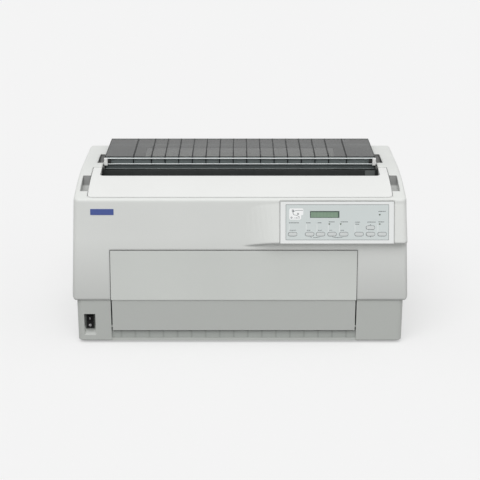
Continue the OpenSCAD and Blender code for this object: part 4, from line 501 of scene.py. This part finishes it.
def circuit(name, color):
    """Lacquered circuit board: traces under the lacquer."""
    s = Shader(name)
    brick = s.add("ShaderNodeTexBrick", Scale=130.0, offset=0.37, Color1=scaled(color, 0.8),
                  Color2=scaled(color, 1.15), Mortar=scaled(color, 1.9), Mortar_Size=0.012)
    s.link(s.coord, brick.inputs["Vector"])
    haze = s.ramp(s.noise(45.0, 3.0), [(0.3, scaled(color, 0.7)), (0.7, scaled(color, 1.4))])
    s.feed("Base Color", s.mix(0.25, brick.outputs["Color"], haze))
    s.feed("Normal", s.bump(brick.outputs["Fac"], 0.2, 0.0001))
    s.set(Roughness=0.32, Coat_Weight=0.3)
    return s.mat


# ---------------------------------------------------------------- materials
MATERIALS = {
    "case": plastic("case_light_plastic", lin(228, 230, 227), shade=case_shade, soft=0.006),
    "lid": plastic("lid_white_plastic", lin(236, 237, 235), rough=0.42),
    "base": plastic("base_grey_plastic", lin(194, 197, 193), rough=0.5, shade=base_shade),
    "flap": plastic("flap_grey_plastic", lin(213, 216, 212), rough=0.47, shade=flap_shade),
    "bezel": plastic("bezel_plastic", lin(238, 240, 239), rough=0.42),
    "guide": plastic("guide_plastic", lin(178, 182, 178), rough=0.5, shade=rib_shade),
    "button": plastic("button_plastic", lin(212, 216, 215), rough=0.38, grain=0.5),
    "overlay": plastic("overlay_film", lin(212, 219, 218), rough=0.4, grain=0.35, scale=2600),
    "black": plastic("black_plastic", lin(38, 39, 39), rough=0.42, tint=0.08),
    "exit": plastic("exit_black_plastic", lin(56, 59, 58), rough=0.48, tint=0.08),
    "rocker": plastic("rocker_plastic", lin(8, 8, 9), rough=0.4, grain=0.25, gloss=0.12),
    "switch": plastic("switch_body_plastic", lin(84, 90, 85), rough=0.5, tint=0.06),
    "fan": plastic("fan_plastic", lin(34, 34, 36), rough=0.4),
    "gear": plastic("acetal_plastic", lin(226, 224, 214), rough=0.36, grain=0.3),
    "pins": plastic("pin_belt_plastic", lin(120, 126, 130), rough=0.5, grain=0.4),
    "blue": plastic("lever_plastic", lin(66, 104, 158), rough=0.4, grain=0.5),
    "dark_print": plastic("dark_ink", lin(52, 58, 64), rough=0.5, grain=0.1),
    "line_print": plastic("line_ink", lin(112, 119, 120), rough=0.5, grain=0.1),
    "white_print": plastic("white_ink", lin(250, 251, 251), rough=0.5, grain=0.1),
    "grey_print": plastic("grey_ink", lin(80, 86, 92), rough=0.5, grain=0.1),
    "plate": plastic("blank_plate", lin(72, 90, 154), rough=0.35, grain=0.3),
    "sheet": metal("exit_sheet_steel", lin(150, 152, 150), 0.5, (40.0, 1.0, 1.0), 0.08),
    "wear": plastic("wear_plate_plastic", lin(112, 116, 114), rough=0.5, grain=0.3),
    "lamp": plastic("lamp_lens", lin(112, 122, 104), rough=0.2, grain=0.05),
    "smoke": smoked("smoked_plastic"),
    "lcd": display("display_glass"),
    # painted shadow round the display's window
    "lcd_shadow": plastic("display_window_shadow", lin(58, 80, 68), rough=0.5, grain=0.2),
    "board": circuit("circuit_board", lin(28, 96, 62)),
    "zinc": metal("zinc_plated_steel", lin(196, 200, 202), 0.34, (1.0, 1.0, 8.0), 0.12, 0.35),
    "ground": metal("ground_steel", lin(214, 216, 218), 0.2, (60.0, 1.0, 1.0), 0.15),
    "chrome": metal("bright_wire", lin(176, 180, 180), 0.26, (40.0, 1.0, 1.0), 0.05),
    "screw": metal("screw_steel", lin(180, 182, 184), 0.3, (1.0, 1.0, 1.0), 0.1),
    "brass": metal("machined_brass", lin(206, 178, 112), 0.26, (40.0, 1.0, 1.0), 0.12),
    "alloy": metal("cast_alloy", lin(84, 86, 88), 0.5, (1.0, 1.0, 1.0), 0.5),
    "motor": metal("painted_motor", lin(52, 53, 56), 0.45, (1.0, 1.0, 1.0), 0.25),
    "roller": rubber("platen_rubber", lin(36, 36, 38), 0.62, rings=0.35),
    "feet": rubber("foot_rubber", lin(44, 44, 44), 0.8),
    "belt": rubber("belt_rubber", lin(34, 34, 36), 0.7),
}
NODE_MATERIAL = {
    "base_pan": "base", "upper_housing": "case", "rear_panel": "case", "rubber_feet": "feet",
    "top_lid": "lid", "smoke_cover": "smoke", "wire_brackets": "lid", "guide_wires": "chrome",
    "front_flap": "flap", "front_paper_guide": "guide", "paper_exit_guide": "exit",
    "control_bezel": "bezel", "panel_overlay": "overlay", "lcd_module": "lcd",
    "panel_board": "board", "power_rocker": "rocker", "power_switch_body": "switch",
    "ac_inlet": "black", "interface_ports": "zinc", "fan_frame": "fan", "fan_rotor": "fan",
    "chassis_plate": "zinc", "left_side_frame": "zinc", "right_side_frame": "zinc",
    "cross_stay": "zinc", "guide_shafts": "ground", "carriage": "black",
    "print_head": "alloy", "ribbon_cartridge": "black", "ribbon_knob": "blue",
    "carriage_motor": "motor", "motor_pulley": "ground", "idler_pulley": "ground",
    "timing_belt": "belt", "platen": "roller", "platen_gear": "gear", "feed_motor": "motor",
    "feed_pinion": "brass", "feed_idler_gear": "gear", "tractor_shaft": "ground",
    "power_supply_and_board": "zinc",
}
ENDING_MATERIAL = {
    "_button": "button", "_pin_belt": "pins", "_sprocket": "gear", "_tractor_cover": "black",
    "_lock_lever": "blue", "_tractor": "black",
}
for name, obj in nodes.items():
    key = NODE_MATERIAL.get(name)
    if key is None:
        key = next(value for end, value in ENDING_MATERIAL.items() if name.endswith(end))
    obj.data.materials.clear()
    obj.data.materials.append(MATERIALS[key])


# ---------------------------------------------------------------- mesh helpers
class Piece:
    """Collects faces, in millimetres, and makes one object of them."""

    def __init__(self):
        self.bm = bmesh.new()

    def prism(self, outline, low, high, matrix):
        """Straight prism of an outline in the matrix's (u, v) plane, from w low to w high."""
        n = len(outline)
        rows = [[self.bm.verts.new(matrix @ Vector((u, v, w))) for u, v in outline]
                for w in (low, high)]
        self.bm.faces.new(list(reversed(rows[0])))
        self.bm.faces.new(rows[1])
        for i in range(n):
            j = (i + 1) % n
            self.bm.faces.new((rows[0][i], rows[0][j], rows[1][j], rows[1][i]))

    def prisms(self, outlines, low, high, matrix):
        for outline in outlines:
            self.prism(outline, low, high, matrix)

    def lathe(self, profile, matrix, segments):
        """Surface of revolution round the matrix's w axis, from (radius, w) places. The
        profile starts off the axis and may end on it."""
        rings = []
        for r, w in profile:
            outline = circle(0, 0, r, segments) if r > 0 else [(0, 0)]
            rings.append([self.bm.verts.new(matrix @ Vector((*p, w))) for p in outline])
        for a, b in zip(rings, rings[1:]):
            for k in range(segments):
                m = (k + 1) % segments
                if len(b) == 1:
                    self.bm.faces.new((a[k], a[m], b[0]))
                else:
                    self.bm.faces.new((a[k], a[m], b[m], b[k]))

    def done(self, name, material, body, slot, smooth=False):
        bmesh.ops.recalc_face_normals(self.bm, faces=self.bm.faces)
        mesh = bpy.data.meshes.new(name)
        self.bm.transform(Matrix.Scale(MM, 4))
        self.bm.to_mesh(mesh)
        self.bm.free()
        obj = bpy.data.objects.new(name, mesh)
        scene.collection.objects.link(obj)
        mesh.materials.append(MATERIALS[material])
        if smooth:
            mesh.shade_smooth()
            mesh.set_sharp_from_angle(angle=math.radians(35))
        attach(obj, body)


def circle(cx, cy, r, n):
    return [(cx + r * math.cos(2 * math.pi * k / n), cy + r * math.sin(2 * math.pi * k / n))
            for k in range(n)]


def rect(x0, y0, x1, y1):
    return [(x0, y0), (x1, y0), (x1, y1), (x0, y1)]


def rounded(x0, y0, x1, y1, r, steps=5):
    out = []
    for cx, cy, a0 in ((x1 - r, y0 + r, -90), (x1 - r, y1 - r, 0), (x0 + r, y1 - r, 90),
                       (x0 + r, y0 + r, 180)):
        for k in range(steps + 1):
            a = math.radians(a0 + 90 * k / steps)
            out.append((cx + r * math.cos(a), cy + r * math.sin(a)))
    return out


def rounded_at(cx, cy, half_w, half_h, r):
    return rounded(cx - half_w, cy - half_h, cx + half_w, cy + half_h, r)


def stroke(points, width):
    """Quadrilaterals along an open line of points, each reaching a little past its ends."""
    reach = 0.35
    out = []
    for (x0, y0), (x1, y1) in zip(points, points[1:]):
        d = math.hypot(x1 - x0, y1 - y0)
        nx, ny = -(y1 - y0) / d * width / 2, (x1 - x0) / d * width / 2
        ex, ey = (x1 - x0) / d * width * reach, (y1 - y0) / d * width * reach
        out.append([(x0 - ex + nx, y0 - ey + ny), (x0 - ex - nx, y0 - ey - ny),
                    (x1 + ex - nx, y1 + ey - ny), (x1 + ex + nx, y1 + ey + ny)])
    return out


def band(outer, inner):
    """Quadrilaterals between two outlines with equally many points."""
    n = len(outer)
    return [[outer[k], outer[(k + 1) % n], inner[(k + 1) % n], inner[k]] for k in range(n)]


def axes(origin, u, v, w):
    """Matrix that takes (u, v, w) places to the printer's."""
    m = Matrix.Identity(4)
    for i, axis in enumerate((u, v, w)):
        m.col[i] = Vector((*axis, 0))
    m.col[3] = Vector((*origin, 1))
    return m


def flat(x, y, z):
    """Axes of a level face at a place: u to the right, v back, w up."""
    return axes((x, y, z), (1, 0, 0), (0, 1, 0), (0, 0, 1))


def facing_front(x, y, z, tilt=0.0):
    """Axes of a face seen from the front: u to the right, v up, w out, tilted back."""
    c, s = math.cos(tilt), math.sin(tilt)
    return axes((x, y, z), (1, 0, 0), (0, s, c), (0, -c, s))


# ---------------------------------------------------------------- control panel
FACE_SLOPE = (front_y(FACE_TOP_Z) + CASE_D / 2) / (FACE_TOP_Z - PANEL_FOOT_Z)
FACE_TILT = math.atan(FACE_SLOPE)
PANEL = facing_front(0, -CASE_D / 2 - FACE_SLOPE * PANEL_FOOT_Z, 0, FACE_TILT)
INK = 0.06                # thickness of a printed layer


def up(height):
    """Place up the tilted face of a point at a height above the panel's foot."""
    return (PANEL_FOOT_Z + height) / math.cos(FACE_TILT)


def lifted(points):
    return [(x, up(height)) for x, height in points]


def dashes(piece, x0, x1, height, tall):
    """A row of short blocks, standing where a printed word would be."""
    widths = (2.2, 1.5, 2.8, 1.2, 2.0)
    gap = 0.55
    shortest = 0.8
    x = x0
    k = 0
    while x < x1 - shortest:
        w = min(widths[k % len(widths)], x1 - x)
        piece.prism(rect(x, up(height) - tall / 2, x + w, up(height) + tall / 2), 0, INK, PANEL)
        x += w + gap
        k += 1


def overlay_print():
    """All that is printed on the film: blocks for words, lines, and the paper path."""
    dark, pale, line, grey = Piece(), Piece(), Piece(), Piece()
    for x0, x1, height in ((100.7, 122, 41.3), (136, 145, 41.3), (159.6, 168.5, 41.3),
                           (182.6, 194, 43.2), (206.8, 222, 43.2), (237, 247, 42.6),
                           (237, 245, 38.6), (261.8, 279, 42.8), (284.4, 296, 43.2),
                           (284.4, 299, 64.1)):
        dashes(dark, x0, x1, height, 1.3)
    for x0, x1, height in ((101.7, 115, 26.5), (137, 145, 26.5), (160.2, 169, 26.5),
                           (183.8, 189.5, 26.5), (206.8, 213.7, 26.5), (150.8, 160, 11.9),
                           (194.4, 208.6, 11.9)):
        dashes(grey, x0, x1, height, 1.1)
    for x in (101.0, 136.0, 158.2, 181.2, 204.2, 236.3, 261.4, 283.4):
        pale.prism(rect(x - 0.3, up(23.6), x + 0.3, up(38.2)), 0, INK, PANEL)
    join_brackets(dark)
    micro_arrows(dark)
    for x, height in [(x, BUTTON_ROW) for x in BUTTON_X] + [(MICRO_UP_X, MICRO_UP)]:
        outer, inner = [rounded_at(x, up(height), BUTTON_LEN / 2 + out, BUTTON_H / 2 + out,
                                   BUTTON_H / 2 - 0.1 + out) for out in (1.0, 0.5)]
        line.prisms(band(outer, inner), 0, INK * 0.7, PANEL)
    inset = 0.5
    x0, x1 = OVERLAY_LEFT + inset, OVERLAY_RIGHT - inset
    low, high = OVERLAY_LOW + inset, OVERLAY_TOP - inset
    border = lifted([(x0, low), (x1, low), (x1, high), (x0, high), (x0, low)])
    line.prisms(stroke(border, 0.7), 0, INK * 0.8, PANEL)
    paper_path(pale, grey)
    dark.done("overlay_dark_print", "dark_print", "housing", "overlay_print")
    pale.done("overlay_white_print", "white_print", "housing", "overlay_print")
    line.done("overlay_outline_print", "line_print", "housing", "overlay_print")
    grey.done("overlay_grey_print", "grey_print", "housing", "overlay_print")


def join_brackets(ink):
    """Lines below the buttons that do something else when pressed together."""
    for left, right in (BUTTON_X[1:3], BUTTON_X[3:5]):
        middle = (left + right) / 2
        for s, x in ((-1, left), (1, right)):
            path = lifted([(x - s * 1.0, 13.9), (x - s * 3.2, 11.9), (middle + s * 6.6, 11.9)])
            ink.prisms(stroke(path, 0.45), 0, INK, PANEL)


def micro_arrows(ink):
    """Small arrows above and below the two buttons that move the paper a little."""
    x = 268.0
    ink.prism(lifted([(x - 1, 36.9), (x + 1, 36.9), (x, 38.6)]), 0, INK, PANEL)
    ink.prism(lifted([(x - 1, 13.9), (x, 12.2), (x + 1, 13.9)]), 0, INK, PANEL)


def paper_path(pale, ink):
    """A drawing of the builder's own: a sheet that runs between rollers, and an arrow."""
    low = 47.6
    high = 70.0
    pale.prism(rounded(101.2, up(low), 125.6, up(high), 3.4), 0, INK, PANEL)
    pale.prism(rounded(119.0, up(56.5), 130.0, up(high), 2.4), 0, INK * 0.9, PANEL)
    sheet = lifted([(128.6, 66.2), (120.0, 66.2), (112.4, 65.2), (108.2, 61.4), (110.6, 57.4),
                    (117.0, 55.8), (121.8, 53.4), (121.0, 49.8)])
    ink.prisms(stroke(sheet, 0.8), INK, INK * 2, PANEL)
    for x, height, r in ((108.6, 65.4, 2.3), (119.2, 59.2, 1.9), (105.8, 51.6, 1.9)):
        ink.prism(circle(x, up(height), r, 16), INK, INK * 2.2, PANEL)
        pale.prism(circle(x, up(height), r * 0.45, 12), INK * 2.2, INK * 2.8, PANEL)
    ink.prisms(stroke(lifted([(110.4, 51.0), (116.4, 51.0)]), 0.7), INK, INK * 2, PANEL)
    ink.prism(lifted([(116.4, 49.7), (118.8, 51.0), (116.4, 52.3)]), INK, INK * 2, PANEL)


def display_window_shadow():
    """Painted shadow round the display's window: a dark frame, wider at its top and right."""
    window_shadow = Piece()
    x0, x1 = LCD_LEFT, LCD_LEFT + LCD_W
    z0, z1 = up(LCD_HIGH) - LCD_H / 2, up(LCD_HIGH) + LCD_H / 2
    low, high = z0 + 0.7, z1 - 1.9
    # painted shadow: dark strips inside the window's edges
    window_shadow.prisms([rect(x0, high, x1, z1), rect(x0, z0, x1, low), rect(x0, low, x0 + 1.5, high),
                   rect(x1 - 2.6, low, x1, high)], -0.6, -0.15, PANEL)
    window_shadow.done("display_window_shadow", "lcd_shadow", "housing", "black_plastic")


def status_lamps():
    """Domed lenses over the panel's lamps."""
    dome = [(1.45, -0.8), (1.45, -0.1), (1.2, 0.25), (0.7, 0.45), (0, 0.5)]
    lamps = Piece()
    for x, height in [(x, LAMP_ROW) for x in LAMP_X] + [(LAMP_X[-1], LAMP_TOP)]:
        lamps.lathe(dome, PANEL @ Matrix.Translation((x, up(height), 0)), 16)
    lamps.done("status_lamp_lenses", "lamp", "housing", "display_green", smooth=True)


def name_plate():
    """Blank plate where such products carry their name."""
    x, z = -284.0, 287.75
    half_w, half_h = 24.0, 6.3
    step = 0.7
    lean = math.atan(FRONT_LEAN / (FRONT_TOP_Z - SPLIT_Z))
    place = facing_front(x, front_y(z), z, lean)
    plate = Piece()
    plate.prism(rounded_at(0, 0, half_w, half_h, 0.8), -0.4, 0.35, place)
    plate.prism(rounded_at(0, 0, half_w - step, half_h - step, 0.6), 0.35, 0.55, place)
    plate.done("blank_name_plate", "plate", "housing", "lever_blue")


# ---------------------------------------------------------------- rear cover and paper exit
END_X = 281.4             # middle of the wires' end blocks and of the wear plate


def wire_end_blocks():
    """Black end blocks between the two wires, beside the brackets."""
    blocks = Piece()
    for s in (-1, 1):
        place = facing_front(s * END_X, 3.4, WIRES_Z)
        inner, outer = (-2.3, 4.4) if s > 0 else (-4.4, 2.3)
        blocks.prism(rounded(inner, -4.4, outer, 4.4, 0.6), -4.8, -0.3, place)
        blocks.prism(rounded_at(0, 0, 1.2, 3.4, 0.5), -0.3, 0.5, place)
    blocks.done("wire_end_blocks", "black", "rear_cover", "black_plastic")


def exit_shelf_sheet():
    """Metal sheet on the exit shelf, seen through the smoked cover, with three low beads."""
    thick = 0.8
    place = flat(0, SHEET_Y, SHELF_Z)
    sheet = Piece()
    sheet.prism(rounded_at(0, 0, SHEET_HALF_W, SHEET_HALF_D, 3), 0.05, thick, place)
    for x in (-120, 0, 120):
        sheet.prism(rounded_at(x, 24, 42, 4, 4), thick, thick + 0.4, place)
    sheet.done("exit_shelf_sheet", "sheet", "housing", "steel_plate")


def slot_wear_plate():
    """Grey wear plate at the right end of the slot."""
    place = facing_front(END_X, EXIT_WALL_Y, 325.5)
    wear = Piece()
    wear.prism(rounded(-10.5, -6.5, 10.5, 6.2, 1.2), 0.02, 0.7, place)
    wear.prism(rounded(-9.3, -5.3, 9.3, 5.0, 0.8), 0.7, 0.95, place)
    wear.done("slot_wear_plate", "wear", "housing", "case_grey")


# ---------------------------------------------------------------- power rocker
def rocker_marks():
    """A bar and a ring, raised on the rocker's two faces."""
    near_y = -3.2             # the rocker's face at the height of its pivot
    far_y = -6.2              # and at its upper and lower ends
    at = Matrix.Translation((SWITCH_X - BASE_HALF, base_y(SWITCH_Z) + RECESS_DEPTH - 1.5,
                             SWITCH_Z))
    rocker = at @ Matrix.Rotation(math.radians(-ROCKER_TILT), 4, "X")
    a = math.atan2(near_y - far_y, ROCKER_H / 2)
    bar = [rect(-0.35, 5.0, 0.35, 9.4)]
    ring = band(circle(0, 7.6, 2.3, 28), circle(0, 7.6, 1.75, 28))
    marks = Piece()
    for s, shapes in ((1, bar), (-1, ring)):
        face = rocker @ axes((0, near_y, 0), (s, 0, 0), (0, -math.sin(a), s * math.cos(a)),
                             (0, -math.cos(a), -s * math.sin(a)))
        marks.prisms(shapes, -0.02, 0.12, face)
    marks.done("rocker_marks", "white_print", "power_rocker", "lid_white")


# ---------------------------------------------------------------- rear of the case
def screw(piece, origin, direction, r=3.2):
    """Pan-head screw with a cross recess."""
    w = Vector(direction).normalized()
    u = w.orthogonal().normalized()
    place = axes(origin, u, w.cross(u), w)
    piece.lathe([(r, 0), (r, 0.5), (r * 0.9, 1.2), (r * 0.6, 1.6), (r * 0.42, 1.7),
                 (r * 0.4, 1.0), (0, 0.8)], place, 20)
    for k in range(4):
        turn = place @ Matrix.Rotation(math.radians(45 + 90 * k), 4, "Z")
        piece.prism(rect(r * 0.14, -r * 0.42, r * 0.45, r * 0.42), 0.95, 1.66, turn)


def rear_panel_screws():
    rear = Piece()
    for x in (-284, -95, 95, 284):
        for z in (130, 320):
            screw(rear, (x, CASE_D / 2 - 0.6, z), (0, 1, 0))
    rear.done("rear_panel_screws", "screw", "housing", "ground_steel", smooth=True)


def inlet_pins():
    """The three pins in the mains inlet."""
    root_y = 174.0
    half_w, half_h = 1.0, 2.2
    place = axes((INLET_X, root_y, INLET_Z), (1, 0, 0), (0, 0, 1), (0, 1, 0))
    pins = Piece()
    for x, z in ((0, 4.5), (-6, -2.5), (6, -2.5)):
        pins.prism(rect(x - half_w, z - half_h, x + half_w, z + half_h), 0, 9.5, place)
    pins.done("inlet_pins", "screw", "housing", "ground_steel")


overlay_print()
display_window_shadow()
status_lamps()
name_plate()
wire_end_blocks()
exit_shelf_sheet()
slot_wear_plate()
rocker_marks()
rear_panel_screws()
inlet_pins()

# ---------------------------------------------------------------- camera
camera_data = bpy.data.cameras.new("camera")
camera_data.sensor_width = 36
camera_data.lens = 105.83
camera_data.clip_end = 200
camera = bpy.data.objects.new("camera", camera_data)
camera.location = (0, -2.9628, 1.0810)
camera.rotation_euler = (math.radians(73.0), 0, 0)
scene.collection.objects.link(camera)
scene.camera = camera
scene.view_settings.view_transform = "Standard"

# ---------------------------------------------------------------- backdrop and floor
BACKDROP = 0.915          # tone of the backdrop as the camera sees it
SKY_LIGHT = 0.54          # strength of the world as a lamp
FLOOR_HALF = 60.0         # metres
FLOOR_LIT = 0.3           # tone of the floor as it lights the object
FLOOR_SEEN = 0.5          # tone of the floor as the camera sees it, with the glow added
FLOOR_GLOW = 0.44


def toned(tree, kind, tone, strength=None):
    """A shader node of one grey tone."""
    made = tree.nodes.new(kind)
    made.inputs[0].default_value = (tone, tone, tone, 1)
    if strength is not None:
        made.inputs[1].default_value = strength
    return made


def shown_rays(tree):
    """1 for rays that show the backdrop itself."""
    path = tree.nodes.new("ShaderNodeLightPath")
    shown = path.outputs["Is Camera Ray"]
    for kind in ("Is Glossy Ray", "Is Transmission Ray"):
        either = tree.nodes.new("ShaderNodeMath")
        either.operation = "MAXIMUM"
        tree.links.new(shown, either.inputs[0])
        tree.links.new(path.outputs[kind], either.inputs[1])
        shown = either.outputs[0]
    return shown


def by_ray(tree, output, lighting, shown):
    """Gives rays that show the backdrop one shader, and those that light the object another."""
    mix = tree.nodes.new("ShaderNodeMixShader")
    tree.links.new(shown_rays(tree), mix.inputs[0])
    tree.links.new(lighting.outputs[0], mix.inputs[1])
    tree.links.new(shown.outputs[0], mix.inputs[2])
    tree.links.new(mix.outputs[0], tree.nodes.new(output).inputs[0])


def studio_world():
    world = bpy.data.worlds.new("studio")
    world.use_nodes = True
    tree = world.node_tree
    tree.nodes.clear()
    by_ray(tree, "ShaderNodeOutputWorld", toned(tree, "ShaderNodeBackground", 1.0, SKY_LIGHT),
           toned(tree, "ShaderNodeBackground", BACKDROP, 1.0))
    scene.world = world


def studio_floor():
    mesh = bpy.data.meshes.new("floor")
    r = FLOOR_HALF
    mesh.from_pydata([(-r, -r, 0), (r, -r, 0), (r, r, 0), (-r, r, 0)], [], [(0, 1, 2, 3)])
    floor = bpy.data.objects.new("floor", mesh)
    scene.collection.objects.link(floor)
    material = bpy.data.materials.new("floor_pale")
    material.use_nodes = True
    tree = material.node_tree
    tree.nodes.clear()
    seen = tree.nodes.new("ShaderNodeAddShader")
    tree.links.new(toned(tree, "ShaderNodeBsdfDiffuse", FLOOR_SEEN).outputs[0], seen.inputs[0])
    tree.links.new(toned(tree, "ShaderNodeEmission", 1.0, FLOOR_GLOW).outputs[0],
                   seen.inputs[1])
    by_ray(tree, "ShaderNodeOutputMaterial", toned(tree, "ShaderNodeBsdfDiffuse", FLOOR_LIT),
           seen)
    mesh.materials.append(material)


def sun(name, elevation, azimuth, strength, angle):
    """Soft distant lamp. Azimuth 0 is from the front, 90 from the object's right."""
    data = bpy.data.lights.new(name, "SUN")
    data.energy = strength
    data.angle = math.radians(angle)
    obj = bpy.data.objects.new(name, data)
    scene.collection.objects.link(obj)
    e, a = math.radians(elevation), math.radians(azimuth)
    d = Vector((math.sin(a) * math.cos(e), -math.cos(a) * math.cos(e), math.sin(e)))
    obj.rotation_euler = d.to_track_quat("Z", "Y").to_euler()


studio_world()
studio_floor()
sun("key", 51, -12, 1.4, 50)
sun("fill", 26, 30, 0.32, 70)
